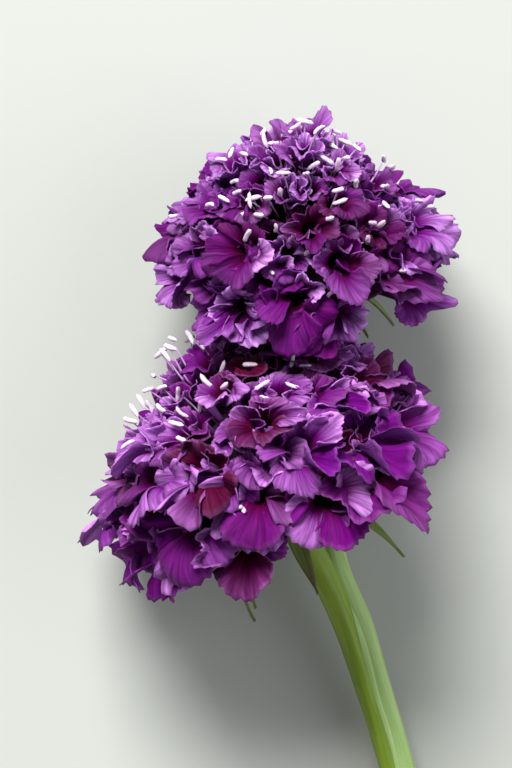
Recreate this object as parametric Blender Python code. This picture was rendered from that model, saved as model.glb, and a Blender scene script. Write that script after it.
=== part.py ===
"""A cut scabiosa with twin flower heads on one fused stalk, lying on a flat surface.

Metres, +Z up, with the surface at Z = 0. +Y runs from the cut end of the stalk towards the heads, and the
flowers face up from the surface. Two stalks have grown together for most of their length: one ends in the
lower head, and the other runs on behind that head and carries the upper one.
"""

import math
import random
from dataclasses import dataclass

import bmesh
import bpy
import numpy as np
from mathutils import Matrix, Vector

MM = 0.001

# Driving dimensions
BLADE = 0.6 * MM  # thickness of a petal
BRACT_BLADE = 0.7 * MM
PRESS_SOFTNESS = 2.2 * MM  # how far off a barrier a petal begins to bend along it
SURFACE_CLEAR = -0.05 * MM  # a pressed petal's middle surface nears this, and its underside is cut flat
BETWEEN_CLEAR = 1.0 * MM  # and this far off the plane between the two heads
NECK_CLEAR = 0.4 * MM  # free space round the upper head's stalk where it passes the lower head
NECK_ROOM = 3.0 * MM  # no floret of the lower head has the middle of its tube nearer to that stalk

# Florets stand in a spiral, each turned by the golden angle from the one before, from the axis outwards
GOLDEN_ANGLE = math.radians(137.508)
OUTERMOST_DEG = 94.0  # angle from the head's axis at which the last floret is rooted
SPIRAL_POWER = 0.55  # below a half the florets crowd at the rim, and above it at the axis
FULL_FROM_DEG = 58.0  # florets further out than this have a bend in the middle of each lobe
TUBE_AT_AXIS, TUBE_AT_RIM = 4.6 * MM, 5.4 * MM
ROOT_SINK = 3.0 * MM  # how deep a floret's tube is sunk into the core

# A floret's five lobes, from the one that points away from the head's axis round past the two small ones:
# share of the floret's lobe length, and how far the rim has bent out from the line of the tube
LOBES = ((1.00, 58.0), (0.80, 62.0), (0.58, 44.0), (0.58, 44.0), (0.80, 62.0))
THROAT = 1.2 * MM  # radius of the throat ring
NOTCH = 0.68  # how far out the rim lies between two lobes, as a share of their length

# Stamens stand out of the florets near the axis
STAMEN_TO_DEG = 62.0
FILAMENT_RADIUS = 0.36 * MM
FILAMENT_REACH = 4.6 * MM  # beyond the floret's throat
ANTHER_LENGTH = 2.3 * MM
ANTHER_RADIUS = 0.55 * MM


@dataclass(frozen=True)
class Head:
    """One flower head: where its base lies, which way it faces, how big it is, and its bracts.

    A floret leans out by the lean share of its angle from the axis. Its lobes are as long as lobe_at_axis
    within the first share of the spiral in swell, and as long as lobe_at_rim beyond the second, and their
    spread is times opened. Near each place in grew, an x, y and radius in millimetres and a factor, they are
    longer or shorter by that factor. A bract is a bearing round the axis from the side that shows, a droop
    below the base, both in degrees, a length and a half width.
    """

    name: str
    base: Vector
    axis: Vector
    scale: float
    core_radius: float
    core_height: float
    peak: float
    florets: int
    stamens: int
    phase_deg: float
    seed: int
    lean: float
    swell: tuple
    lobe_at_axis: float
    lobe_at_rim: float
    opened: float
    grew: tuple
    bracts: tuple

    def axes(self):
        """Up the head's axis, towards the side that shows, and across to the right."""
        up = self.axis.normalized()
        front = (Vector((0, 0, 1)) - up * up.z).normalized()
        return np.array(up), np.array(front), np.array(up.cross(front))

    def at(self, radius, bearing, height):
        """A point at a distance from the axis, a bearing round it in radians and a height over the base."""
        up, front, right = self.axes()
        outward = front * math.cos(bearing) + right * math.sin(bearing)
        return np.array(self.base) + outward * radius + up * height

    def dome_radius(self, polar):
        """How wide the core's dome is at an angle from the axis. It comes to more of a peak above 1."""
        return self.core_radius * max(math.sin(polar), 0.0) ** self.peak


LOWER = Head(
    name="lower",
    base=Vector((2.6, -12.8, 18.5)) * MM,
    axis=Vector((-0.364, 0.804, 0.47)),
    scale=1.055,
    core_radius=10.9 * MM,
    core_height=11.4 * MM,
    peak=1.08,
    florets=42,
    stamens=11,
    phase_deg=68.0,
    seed=290,
    lean=0.75,
    swell=(0.35, 1.0),
    lobe_at_axis=4.4 * MM,
    lobe_at_rim=10.7 * MM,
    opened=1.05,
    grew=(
        (-21.0, -6.5, 5.5, 0.34),
        (-14.5, -0.8, 4.0, 0.45),
        (-12.1, 4.5, 3.5, 0.75),
        (18.5, 4.6, 5.0, 0.56),
        (21.9, 1.2, 3.5, 0.50),
        (26.5, -9.0, 4.0, 0.50),
        (23.2, -15.5, 3.5, 1.30),
        (21.5, -18.5, 2.5, 0.80),
        (17.9, -17.6, 3.0, 1.47),
        (13.5, -22.0, 3.0, 0.75),
        (6.6, -22.3, 2.2, 0.80),
        (2.9, -25.6, 3.0, 1.40),
        (-1.8, -27.2, 2.6, 0.33),
        (-5.9, -27.0, 2.4, 0.98),
        (-9.5, -29.0, 2.5, 0.80),
        (-16.8, -27.0, 2.5, 0.80),
        (-18.6, -23.6, 2.5, 1.21),
        (-21.5, -19.0, 3.0, 0.92),
        (-20.5, -11.7, 2.5, 0.60),
        (23.3, -4.2, 2.5, 1.30),
    ),
    bracts=(
        (-4, 50, 12.2 * MM, 1.3 * MM),
        (-58, 50, 13.5 * MM, 1.1 * MM),
        (-78, 56, 16.5 * MM, 1.3 * MM),
        (72, 34, 17.2 * MM, 1.9 * MM),
        (56, 45, 15.9 * MM, 0.9 * MM),
        (104, 31, 14.5 * MM, 1.5 * MM),
        (-162, 33, 14.0 * MM, 1.5 * MM),
        (-134, 32, 14.0 * MM, 1.5 * MM),
        (-104, 34, 13.0 * MM, 1.4 * MM),
    ),
)
UPPER = Head(
    name="upper",
    base=Vector((6.0, 15.6, 16.5)) * MM,
    axis=Vector((-0.02, 0.83, 0.56)),
    scale=0.96,
    core_radius=8.5 * MM,
    core_height=11.8 * MM,
    peak=1.45,
    florets=38,
    stamens=11,
    phase_deg=16.0,
    seed=908,
    lean=0.80,
    swell=(0.4, 1.0),
    lobe_at_axis=4.2 * MM,
    lobe_at_rim=10.3 * MM,
    opened=1.0,
    grew=(
        (6.6, 35.6, 3.8, 1.70),
        (10.0, 36.2, 1.6, 0.75),
        (-3.0, 32.0, 3.6, 1.76),
        (-7.6, 27.8, 2.0, 0.80),
        (18.0, 29.2, 3.6, 0.52),
        (24.5, 25.8, 2.0, 0.75),
        (25.6, 20.8, 3.0, 1.22),
        (26.6, 16.0, 2.6, 0.85),
        (-15.0, 18.5, 4.0, 0.70),
        (-13.0, 11.0, 4.0, 0.50),
        (-13.6, 14.5, 2.5, 1.15),
        (15.0, 6.0, 2.5, 0.75),
    ),
    bracts=(
        (14, 3, 6.5 * MM, 1.4 * MM),
        (66, 44, 9.0 * MM, 1.1 * MM),
        (98, 36, 12.0 * MM, 1.4 * MM),
        (136, 36, 12.0 * MM, 1.4 * MM),
        (176, 34, 12.0 * MM, 1.4 * MM),
        (-140, 33, 12.0 * MM, 1.4 * MM),
        (-108, 32, 12.0 * MM, 1.4 * MM),
        (-76, 28, 10.0 * MM, 1.2 * MM),
        (-26, 3, 6.5 * MM, 1.4 * MM),
    ),
)

HEADS = (LOWER, UPPER)

# All places here are measured from the middle of the picture, and the finished part is moved by this
ORIGIN = Vector((5.55, -36.3, 0.0)) * MM

# The plane that parts the two heads: its normal points to the upper head's side
BETWEEN_NORMAL = Vector((0.0, 0.86, 0.51)).normalized()
BETWEEN_REACH = 18.4 * MM

# Middle lines of the two fused stalks from the cut end up, in millimetres: x, y, z and radius
LOWER_STALK = (
    (32.6, -108.0, 1.50, 1.50),
    (25.4, -80.0, 2.00, 1.50),
    (18.3, -52.0, 4.60, 1.50),
    (15.4, -42.5, 6.60, 1.55),
    (12.5, -33.7, 9.20, 1.65),
    (9.2, -26.0, 11.9, 1.80),
    (6.4, -20.6, 14.4, 1.90),
    (4.3, -16.6, 16.4, 2.20),
)
UPPER_STALK = (
    (34.4, -107.6, 1.45, 1.45),
    (27.2, -79.7, 1.95, 1.45),
    (20.1, -51.6, 4.50, 1.45),
    (17.2, -42.2, 6.30, 1.50),
    (14.5, -33.2, 8.40, 1.60),
    (11.1, -25.0, 9.60, 1.65),
    (9.6, -17.5, 7.80, 1.60),
    (9.2, -10.0, 6.90, 1.55),
    (8.6, 0.0, 8.00, 1.50),
    (7.0, 6.6, 10.8, 1.60),
    (6.1, 12.0, 14.0, 1.90),
)
STALK_SIDES = 9
CUP = ((-4.8, 1.9), (-3.0, 4.6), (-2.2, 5.4), (-1.85, 5.0))  # height and radius in millimetres


def push_clear(points, origin, normal, clear):
    """Bends points that come near a barrier plane, or cross it, so that they run along its free side."""
    reach = (points - np.array(origin)) @ np.array(normal) - clear
    eased = PRESS_SOFTNESS * np.exp(np.minimum(reach / PRESS_SOFTNESS - 1.0, 0.0))
    lift = np.where(reach < PRESS_SOFTNESS, eased - reach, 0.0)
    return points + lift[:, None] * np.array(normal)


SURFACE = (Vector((0, 0, 0)), Vector((0, 0, 1)), SURFACE_CLEAR)
BELOW_UPPER = (BETWEEN_NORMAL * BETWEEN_REACH, -BETWEEN_NORMAL, BETWEEN_CLEAR)
ABOVE_LOWER = (BETWEEN_NORMAL * BETWEEN_REACH, BETWEEN_NORMAL, BETWEEN_CLEAR)


@dataclass
class Floret:
    """A floret's root, its directions, and the draws that set it apart from its neighbours."""

    root: np.ndarray
    along: np.ndarray
    out: np.ndarray
    side: np.ndarray
    tube: float
    length: np.ndarray
    spread: list
    tilt: list
    full: bool


def unit(vector):
    """The vector at a length of one."""
    return vector / np.linalg.norm(vector)


def stalk_line(knots, steps):
    """Evenly spaced points and radii along a smooth curve through the knots."""
    knots = np.array(knots) * MM
    padded = np.concatenate([2 * knots[:1] - knots[1:2], knots, 2 * knots[-1:] - knots[-2:-1]])
    fine = []
    for index in range(len(knots) - 1):
        before, start, end, after = padded[index : index + 4]
        for part in np.linspace(0, 1, 12, endpoint=False):
            fine.append(
                0.5
                * (
                    2 * start
                    + (end - before) * part
                    + (2 * before - 5 * start + 4 * end - after) * part**2
                    + (3 * start - before - 3 * end + after) * part**3
                )
            )
    fine = np.array(fine + [knots[-1]])
    walked = np.concatenate([[0], np.cumsum(np.linalg.norm(np.diff(fine[:, :3], axis=0), axis=1))])
    stops = np.linspace(0, walked[-1], steps)
    return np.stack([np.interp(stops, walked, fine[:, axis]) for axis in range(4)], axis=1)


def distance_to_line(point, line):
    """Shortest distance from a point to a line of points."""
    starts, ends = line[:-1, :3], line[1:, :3]
    spans = ends - starts
    parts = np.clip(((point - starts) * spans).sum(axis=1) / (spans**2).sum(axis=1), 0, 1)
    return np.linalg.norm(starts + spans * parts[:, None] - point, axis=1).min()


def florets_of(head):
    """Places a head's florets along the spiral. The further out they stand, the larger their lobes."""
    draw = random.Random(head.seed)
    up = head.axes()[0]
    neck = stalk_line(UPPER_STALK, 60)
    placed = []
    for number in range(head.florets):
        share = ((number + 0.4) / head.florets) ** SPIRAL_POWER
        polar = math.radians(max(OUTERMOST_DEG * share + draw.uniform(-3, 3), 1.0))
        bearing = math.radians(head.phase_deg) + number * GOLDEN_ANGLE + draw.uniform(-0.12, 0.12)
        root = head.at(head.dome_radius(polar), bearing, head.core_height * math.cos(polar))
        outward = unit(head.at(1.0, bearing, 0.0) - np.array(head.base))
        lean = polar * head.lean + math.radians(draw.uniform(-7, 7))
        along = outward * math.sin(lean) + up * math.cos(lean)
        out = outward * math.cos(lean) - up * math.sin(lean)
        twist = math.radians(draw.uniform(-20, 20))
        side = np.cross(along, out)
        swollen = ease(min(max((share - head.swell[0]) / (head.swell[1] - head.swell[0]), 0.0), 1.0))
        size = (head.lobe_at_axis + (head.lobe_at_rim - head.lobe_at_axis) * swollen) * head.scale
        tube = (TUBE_AT_AXIS + (TUBE_AT_RIM - TUBE_AT_AXIS) * share) * head.scale
        floret = Floret(
            root=root,
            along=along,
            out=out * math.cos(twist) + side * math.sin(twist),
            side=side * math.cos(twist) - out * math.sin(twist),
            tube=tube * draw.uniform(0.85, 1.15),
            length=np.array([size * part * draw.uniform(0.9, 1.1) for part, _ in LOBES]),
            spread=[math.radians(turn + draw.uniform(-14, 14)) * head.opened for _, turn in LOBES],
            tilt=[draw.uniform(-1, 1) for _ in LOBES],
            full=math.degrees(polar) > FULL_FROM_DEG,
        )
        floret.length = floret.length * growth(head, floret)
        middle = floret.root + floret.along * floret.tube / 2
        if head is UPPER or distance_to_line(middle, neck) > NECK_ROOM:
            placed.append(floret)
    return placed


def growth(head, floret):
    """A factor for each lobe's length, from how near the lobe reaches to each place in the head's grew."""
    bearing = np.arange(len(LOBES))[:, None] * 2 * math.pi / len(LOBES)
    spoke = floret.out * np.cos(bearing) + floret.side * np.sin(bearing)
    throat = floret.root + floret.along * floret.tube
    reach = throat + (floret.along * 0.4 + spoke * 0.75) * floret.length[:, None]
    factor = np.ones(len(LOBES))
    for x, y, radius, change in head.grew:
        away = np.linalg.norm(reach[:, :2] - np.array([x, y]) * MM, axis=1) / (radius * MM)
        factor *= 1.0 + (change - 1.0) * np.exp(-(away**2))
    return factor


def ease(part):
    """Turns a share that grows evenly into one that starts and ends slowly."""
    return part * part * (3 - 2 * part)


def blend(values, turn):
    """A lobe-by-lobe value between lobes: turn counts lobes round the throat, 0 at the first one."""
    before = int(math.floor(turn)) % len(values)
    part = ease(turn - math.floor(turn))
    return values[before] * (1 - part) + values[(before + 1) % len(values)] * part


def petal_point(floret, turn, reach, lift):
    """A point of a floret's middle surface: reach runs from 0 at the throat to 1 at the tips."""
    bearing = 2 * math.pi * turn / len(LOBES)
    spoke = floret.out * math.cos(bearing) + floret.side * math.sin(bearing)
    length = blend(floret.length, turn)
    start = math.radians(14)
    bend = (blend(floret.spread, turn) - start) / length
    angle = start + bend * reach * length
    rise = (math.sin(angle) - math.sin(start)) / bend
    run = (math.cos(start) - math.cos(angle)) / bend
    facing = math.sin(angle) * floret.along - math.cos(angle) * spoke
    throat = floret.root + floret.along * floret.tube
    return throat + spoke * (THROAT + run) + floret.along * rise + facing * lift * length


def floret_solid(floret, barriers):
    """A closed trumpet with a wavy rim, its tube running down to a point inside the core."""
    lobes = len(LOBES)
    middle, skin, rim = [], [], []
    for lobe in range(lobes):
        middle.append(petal_point(floret, lobe, 0.0, 0.0))
    if floret.full:
        for lobe in range(lobes):
            middle.append(petal_point(floret, lobe, 0.5, -0.04))
        for lobe in range(lobes):
            tilt = floret.tilt[lobe]
            middle.append(petal_point(floret, lobe - 0.5, NOTCH, 0.16))
            middle.append(petal_point(floret, lobe - 0.36, 1.0, 0.2 * tilt))
            middle.append(petal_point(floret, lobe + 0.36, 1.0, -0.2 * tilt))
        for lobe in range(lobes):
            after = (lobe + 1) % lobes
            centre, next_centre = lobes + lobe, lobes + after
            notch, left, right = (2 * lobes + 3 * lobe + n for n in range(3))
            next_notch = 2 * lobes + 3 * after
            skin += [(lobe, centre, next_centre), (lobe, next_centre, after)]
            skin += [(centre, notch, left), (centre, left, right), (centre, right, next_notch)]
            skin += [(centre, next_notch, next_centre)]
            rim += [(notch, left), (left, right), (right, next_notch)]
    else:
        for lobe in range(lobes):
            tilt = floret.tilt[lobe]
            middle.append(petal_point(floret, lobe - 0.5, NOTCH, 0.16))
            middle.append(petal_point(floret, lobe - 0.34, 1.0, 0.12 * tilt))
            middle.append(petal_point(floret, lobe + 0.34, 1.0, -0.12 * tilt))
        for lobe in range(lobes):
            after = (lobe + 1) % lobes
            notch, left, right = (lobes + 3 * lobe + n for n in range(3))
            next_notch = lobes + 3 * after
            skin += [(lobe, notch, left), (lobe, left, right), (lobe, right, next_notch)]
            skin += [(lobe, next_notch, after)]
            rim += [(notch, left), (left, right), (right, next_notch)]
    middle = np.array(middle)
    for origin, normal, clear in barriers:
        middle = push_clear(middle, origin, normal, clear)
    vertices, faces = thicken(middle, skin, rim, BLADE, floret.along)
    tip = floret.root - floret.along * ROOT_SINK
    well = floret.root + floret.along * (floret.tube - 1.2 * MM)
    offset = len(middle)
    for lobe in range(lobes):
        after = (lobe + 1) % lobes
        faces += [(lobe, after, 2 * offset), (after + offset, lobe + offset, 2 * offset + 1)]
    return np.concatenate([vertices, [tip, well]]), faces


def stamen_solid(foot, along, tip_way, reach):
    """A filament with a rod-shaped anther across its end, closed, on three and four sides."""
    side = unit(np.cross(along, [0.3, 0.5, 0.8]))
    other = np.cross(along, side)
    vertices, faces = [], []
    for level, radius in ((0.0, 1.2), (1.0, 1.0)):
        for corner in range(3):
            turn = 2 * math.pi * corner / 3
            ring = side * math.cos(turn) + other * math.sin(turn)
            vertices.append(foot + along * reach * level + ring * FILAMENT_RADIUS * radius)
    faces += [(0, 1, 2), (5, 4, 3)]
    for corner in range(3):
        after = (corner + 1) % 3
        faces += [(corner, corner + 3, after + 3), (corner, after + 3, after)]
    centre = foot + along * reach
    across = unit(np.cross(tip_way, along))
    lift = np.cross(across, tip_way)
    start = len(vertices)
    for place in (-0.5, 0.5):
        for corner in range(3):
            turn = 2 * math.pi * corner / 3
            ring = across * math.cos(turn) + lift * math.sin(turn)
            vertices.append(centre + tip_way * ANTHER_LENGTH * place + ring * ANTHER_RADIUS)
    rod = [(0, 1, 2), (5, 4, 3)]
    for corner in range(3):
        after = (corner + 1) % 3
        rod += [(corner, corner + 3, after + 3), (corner, after + 3, after)]
    return np.array(vertices[:start]), faces, np.array(vertices[start:]), rod


def stamens_of(head, florets):
    """Stamens of the florets near the axis: where each one stands, which way it leans and its anther lies."""
    draw = random.Random(head.seed + 100)
    up = head.axes()[0]
    near = [f for f in florets if f.along @ up > math.cos(math.radians(STAMEN_TO_DEG * head.lean))]
    placed = []
    for number in range(head.stamens):
        floret = near[number % len(near)]
        lean = floret.out * draw.uniform(-0.35, 0.35) + floret.side * draw.uniform(-0.35, 0.35)
        along = unit(floret.along + lean)
        swing = draw.uniform(0, 2 * math.pi)
        flat = floret.out * math.cos(swing) + floret.side * math.sin(swing)
        tip_way = unit(flat + along * draw.uniform(-0.5, 0.9))
        foot = floret.root + floret.along * (floret.tube - 1.6 * MM)
        reach = (FILAMENT_REACH + 1.6 * MM) * head.scale * draw.uniform(0.8, 1.25)
        end = foot + along * reach
        beyond = (end - np.array(BETWEEN_NORMAL) * BETWEEN_REACH) @ np.array(BETWEEN_NORMAL)
        if head is UPPER or beyond < -2.2 * MM:
            placed.append((foot, along, tip_way, reach))
    return placed


def bract_solid(head, bearing, droop, length, width):
    """A narrow pointed leaf, folded a little along its keel, rooted in the cup and bent back."""
    bearing, droop = math.radians(bearing), math.radians(droop)
    up = head.axes()[0]
    outward = unit(head.at(1.0, bearing, 0.0) - np.array(head.base))
    across = np.cross(up, outward)
    stations = ((0.0, 0.5), (0.36, 1.0), (0.70, 0.7), (1.0, 0.0))
    middle = []
    for place, wide in stations:
        walked = length * place
        angle = droop * (0.55 + 0.6 * place)
        radius = 3.6 * MM + walked * math.cos(angle)
        height = -2.5 * MM - walked * math.sin(angle)
        spine = np.array(head.base) + outward * radius + up * height
        if wide == 0.0:
            middle.append(spine)
            continue
        raised = spine + up * 0.5 * MM * wide
        reach = across * width * wide
        middle += [raised - reach, spine, raised + reach]
    middle = push_clear(np.array(middle), *SURFACE)
    skin = []
    for station in range(2):
        for part in range(2):
            here = 3 * station + part
            skin += [(here, here + 1, here + 4), (here, here + 4, here + 3)]
    skin += [(6, 7, 9), (7, 8, 9)]
    rim = [(0, 3), (3, 6), (6, 9), (9, 8), (8, 5), (5, 2), (2, 1), (1, 0)]
    return thicken(middle, skin, rim, BRACT_BLADE, up)


def thicken(middle, skin, rim, thickness, facing):
    """Closes a middle surface into a blade, half its thickness on each side of it."""
    looks = np.zeros_like(middle)
    for a, b, c in skin:
        face = np.cross(middle[b] - middle[a], middle[c] - middle[a])
        for corner in (a, b, c):
            looks[corner] += face
    looks /= np.linalg.norm(looks, axis=1)[:, None]
    if (looks @ facing).sum() < 0:
        looks = -looks
    offset = len(middle)
    vertices = np.concatenate([middle - looks * thickness / 2, middle + looks * thickness / 2])
    faces = [(c, b, a) for a, b, c in skin] + [(a + offset, b + offset, c + offset) for a, b, c in skin]
    for a, b in rim:
        faces += [(a, b, b + offset), (a, b + offset, a + offset)]
    return vertices, faces


def tube_solid(line, sides, extra=0.0):
    """A closed tube along a line of points and radii."""
    points = line[:, :3]
    ways = np.gradient(points, axis=0)
    ways /= np.linalg.norm(ways, axis=1)[:, None]
    side = unit(np.cross(ways[0], [0, 0, 1]))
    vertices, faces = [], []
    for point, way, radius in zip(points, ways, line[:, 3]):
        side = unit(side - way * (side @ way))
        lift = np.cross(side, way)
        for corner in range(sides):
            turn = 2 * math.pi * (corner + 0.5) / sides
            ring = side * math.cos(turn) + lift * math.sin(turn)
            vertices.append(point + ring * (radius + extra))
    for level in range(len(points) - 1):
        for corner in range(sides):
            after = (corner + 1) % sides
            row = level * sides
            faces.append((row + corner, row + after, row + sides + after, row + sides + corner))
    faces.append(tuple(range(sides))[::-1])
    faces.append(tuple(range(len(vertices) - sides, len(vertices))))
    return vertices, faces


def cup_solid(head, sides=10):
    """The green base of a head, widening from its stalk to just under the core."""
    rows = [
        [head.at(radius * MM * head.scale, 2 * math.pi * side / sides, height * MM) for side in range(sides)]
        for height, radius in CUP
    ]
    vertices = [point for row in rows for point in row]
    faces = [tuple(range(sides)), tuple(range(len(vertices) - sides, len(vertices)))[::-1]]
    for level in range(len(rows) - 1):
        for side in range(sides):
            after = (side + 1) % sides
            row = level * sides
            faces.append((row + side, row + sides + side, row + sides + after, row + after))
    return vertices, faces


def core_solid(head, sides=14, levels=4):
    """The dense middle of a head, a dome over a rounded base."""
    polars = [math.radians(90) * level / levels for level in range(1, levels + 1)]
    rings = [(head.dome_radius(polar), head.core_height * math.cos(polar)) for polar in polars]
    rings.append((head.core_radius - 1.6 * MM, -1.1 * MM))
    vertices = [head.at(0.0, 0.0, head.core_height)]
    for radius, height in rings:
        vertices += [head.at(radius, 2 * math.pi * side / sides, height) for side in range(sides)]
    vertices.append(head.at(0.0, 0.0, -1.4 * MM))
    faces = []
    for side in range(sides):
        after = (side + 1) % sides
        faces.append((0, 1 + side, 1 + after))
        for level in range(len(rings) - 1):
            row, below = 1 + level * sides, 1 + (level + 1) * sides
            faces.append((row + side, below + side, below + after, row + after))
        last = 1 + (len(rings) - 1) * sides
        faces.append((last + side, len(vertices) - 1, last + after))
    return vertices, faces


def mesh_object(name, vertices, faces, material=None):
    """A mesh object from points in metres, with its faces turned outwards."""
    mesh = bpy.data.meshes.new(name)
    mesh.from_pydata([tuple(v) for v in vertices], [], [tuple(f) for f in faces])
    shape = bmesh.new()
    shape.from_mesh(mesh)
    bmesh.ops.recalc_face_normals(shape, faces=shape.faces)
    shape.to_mesh(mesh)
    shape.free()
    made = bpy.data.objects.new(name, mesh)
    bpy.context.scene.collection.objects.link(made)
    if material:
        mesh.materials.append(material)
    return made


def apply_boolean(body, operation, pieces):
    """Joins the pieces to the body, or cuts them from it, in one Boolean, and removes them."""
    group = bpy.data.collections.new(body.name + "_pieces")
    bpy.context.scene.collection.children.link(group)
    for piece in pieces:
        bpy.context.scene.collection.objects.unlink(piece)
        group.objects.link(piece)
    boolean = body.modifiers.new("boolean", "BOOLEAN")
    boolean.operation = operation
    boolean.operand_type = "COLLECTION"
    boolean.collection = group
    boolean.solver = "MANIFOLD"
    graph = bpy.context.evaluated_depsgraph_get()
    result = bpy.data.meshes.new_from_object(body.evaluated_get(graph))
    body.modifiers.remove(boolean)
    body.data = result
    for piece in pieces:
        bpy.data.objects.remove(piece)
    bpy.data.collections.remove(group)


def keep_outer_skin(body):
    """Keeps the largest outer surface: loose scraps go, and hollows sealed inside are filled."""
    shape = bmesh.new()
    shape.from_mesh(body.data)
    unseen = set(shape.faces)
    shells = []
    while unseen:
        first = unseen.pop()
        shell, waiting = [first], [first]
        while waiting:
            for edge in waiting.pop().edges:
                for other in edge.link_faces:
                    if other in unseen:
                        unseen.remove(other)
                        shell.append(other)
                        waiting.append(other)
        shells.append(shell)
    largest = max(shells, key=len)
    spare = [face for shell in shells if shell is not largest for face in shell]
    bmesh.ops.delete(shape, geom=spare, context="FACES")
    shape.to_mesh(body.data)
    shape.free()


def floor_block():
    """Everything below the surface, for cutting a flat where a head presses on it."""
    side = 120 * MM
    square = ((-side, -side), (side, -side), (side, side), (-side, side))
    corners = [(x, y, z) for z in (-20 * MM, 0.0) for x, y in square]
    faces = [(0, 1, 2, 3), (4, 5, 6, 7), (0, 1, 5, 4), (1, 2, 6, 5), (2, 3, 7, 6), (3, 0, 4, 7)]
    return mesh_object("below_surface", corners, faces)


def principled(name, colour, roughness):
    """A plain material of one colour."""
    material = bpy.data.materials.new(name)
    material.use_nodes = True
    shader = material.node_tree.nodes["Principled BSDF"]
    shader.inputs["Base Color"].default_value = (*colour, 1.0)
    shader.inputs["Roughness"].default_value = roughness
    material.diffuse_color = (*colour, 1.0)
    return material


def build_head(head):
    """A head's core with its florets and stamens fused to it."""
    material = principled(head.name + "_petals", (0.30, 0.055, 0.33), 0.6)
    barriers = [SURFACE, BELOW_UPPER if head is LOWER else ABOVE_LOWER]
    body = mesh_object(head.name + "_head", *core_solid(head), material)
    florets = florets_of(head)
    pieces = [mesh_object("floret", *floret_solid(floret, barriers)) for floret in florets]
    for foot, along, tip_way, reach in stamens_of(head, florets):
        filament, sides, anther, rod = stamen_solid(foot, along, tip_way, reach)
        pieces += [mesh_object("filament", filament, sides), mesh_object("anther", anther, rod)]
    apply_boolean(body, "UNION", pieces)
    cutters = [floor_block()]
    if head is LOWER:
        neck = stalk_line(UPPER_STALK, 40)[12:]
        cutters.append(mesh_object("neck_space", *tube_solid(neck, 12, NECK_CLEAR)))
    apply_boolean(body, "DIFFERENCE", cutters)
    keep_outer_skin(body)
    return body


def build_stalk():
    """Both fused stalks, the green cup under each head, and its bracts."""
    material = principled("green_stalk", (0.16, 0.26, 0.06), 0.55)
    body = mesh_object("stalk", *tube_solid(stalk_line(LOWER_STALK, 14), STALK_SIDES), material)
    pieces = [mesh_object("upper_stalk", *tube_solid(stalk_line(UPPER_STALK, 20), STALK_SIDES))]
    for head in HEADS:
        pieces.append(mesh_object("cup", *cup_solid(head)))
        for bract in head.bracts:
            pieces.append(mesh_object("bract", *bract_solid(head, *bract)))
    apply_boolean(body, "UNION", pieces)
    apply_boolean(body, "DIFFERENCE", [floor_block()])
    keep_outer_skin(body)
    return body


def main():
    """Builds the three bodies and moves them so that their box stands centred on the origin."""
    for old in list(bpy.data.objects):
        bpy.data.objects.remove(old)
    for made in (build_head(LOWER), build_head(UPPER), build_stalk()):
        made.data.transform(Matrix.Translation(-ORIGIN))


main()
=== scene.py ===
"""A cut scabiosa with twin heads on one fused stalk, lying on a pale floor.

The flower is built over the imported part, in the part's own frame: metres, +Z up off the floor and +Y from the
cut end of the stalk towards the heads. Each floret stands where the part's floret stands, because the same
seeded draws place it, and the fine petals add what the part leaves out: five separate lobes, a crenate and
ruffled margin, veins, and the florets, filaments and anthers that fill the middle of a head.
"""

import logging
import math
import random
from dataclasses import dataclass, field
from enum import Enum
from functools import partial

import bpy
import numpy as np
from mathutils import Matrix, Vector


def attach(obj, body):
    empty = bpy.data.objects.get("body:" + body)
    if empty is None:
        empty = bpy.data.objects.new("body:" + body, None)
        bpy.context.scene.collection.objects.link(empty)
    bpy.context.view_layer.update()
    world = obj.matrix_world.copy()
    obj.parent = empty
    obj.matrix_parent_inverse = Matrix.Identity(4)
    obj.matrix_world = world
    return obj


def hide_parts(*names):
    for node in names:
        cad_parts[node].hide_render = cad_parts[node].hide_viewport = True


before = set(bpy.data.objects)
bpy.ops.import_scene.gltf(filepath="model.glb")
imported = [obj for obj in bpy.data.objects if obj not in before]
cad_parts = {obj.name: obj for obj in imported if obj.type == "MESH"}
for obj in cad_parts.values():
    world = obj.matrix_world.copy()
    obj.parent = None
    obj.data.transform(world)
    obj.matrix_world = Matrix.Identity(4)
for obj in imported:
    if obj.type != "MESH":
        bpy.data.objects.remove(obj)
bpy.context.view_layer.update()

MM = 0.001
GOLDEN_ANGLE = math.radians(137.508)
LOBE_COUNT = 5

Array = np.ndarray
Rows = tuple[tuple[float, ...], ...]
log = logging.getLogger("scabiosa")


# Shared measures and plans


def unit(vectors: Array) -> Array:
    """Scales vectors, with x, y and z on the last axis, to a length of one."""
    return vectors / np.linalg.norm(vectors, axis=-1, keepdims=True)


def smooth_step(values: Array, low: float, high: float) -> Array:
    """Rises smoothly from 0 at low to 1 at high: three times the square less twice the cube of the share."""
    share = np.clip((values - low) / (high - low), 0.0, 1.0)
    return share * share * (3.0 - 2.0 * share)


@dataclass(frozen=True)
class Barrier:
    """A plane that petals bend along instead of crossing it.

    A point nearer than the softness is eased towards the plane's clear distance: its new height above that is
    the softness times the exponential of its old height over the softness, less one.
    """

    origin: tuple[float, float, float]
    normal: tuple[float, float, float]
    clear: float
    softness: float = 2.2 * MM

    def bend(self, points: Array) -> Array:
        """Moves points to the plane's free side.

        Args:
            points: Positions in metres, x, y and z on the last axis.

        Returns:
            The bent positions.
        """
        normal = unit(np.array(self.normal))
        reach = (points - np.array(self.origin)) @ normal - self.clear
        eased = self.softness * np.exp(np.minimum(reach / self.softness - 1.0, 0.0))
        lift = np.where(reach < self.softness, eased - reach, 0.0)
        return points + lift[..., None] * normal


# Every place below is measured from the middle of the picture, and the part's frame starts here. The camera
# looks down from the eye's height, and the picture is at full scale at the height in focus.
ORIGIN = np.array([5.55, -36.3, 0.0]) * MM
EYE_HEIGHT = 0.52
FOCUS_HEIGHT = 0.02

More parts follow.
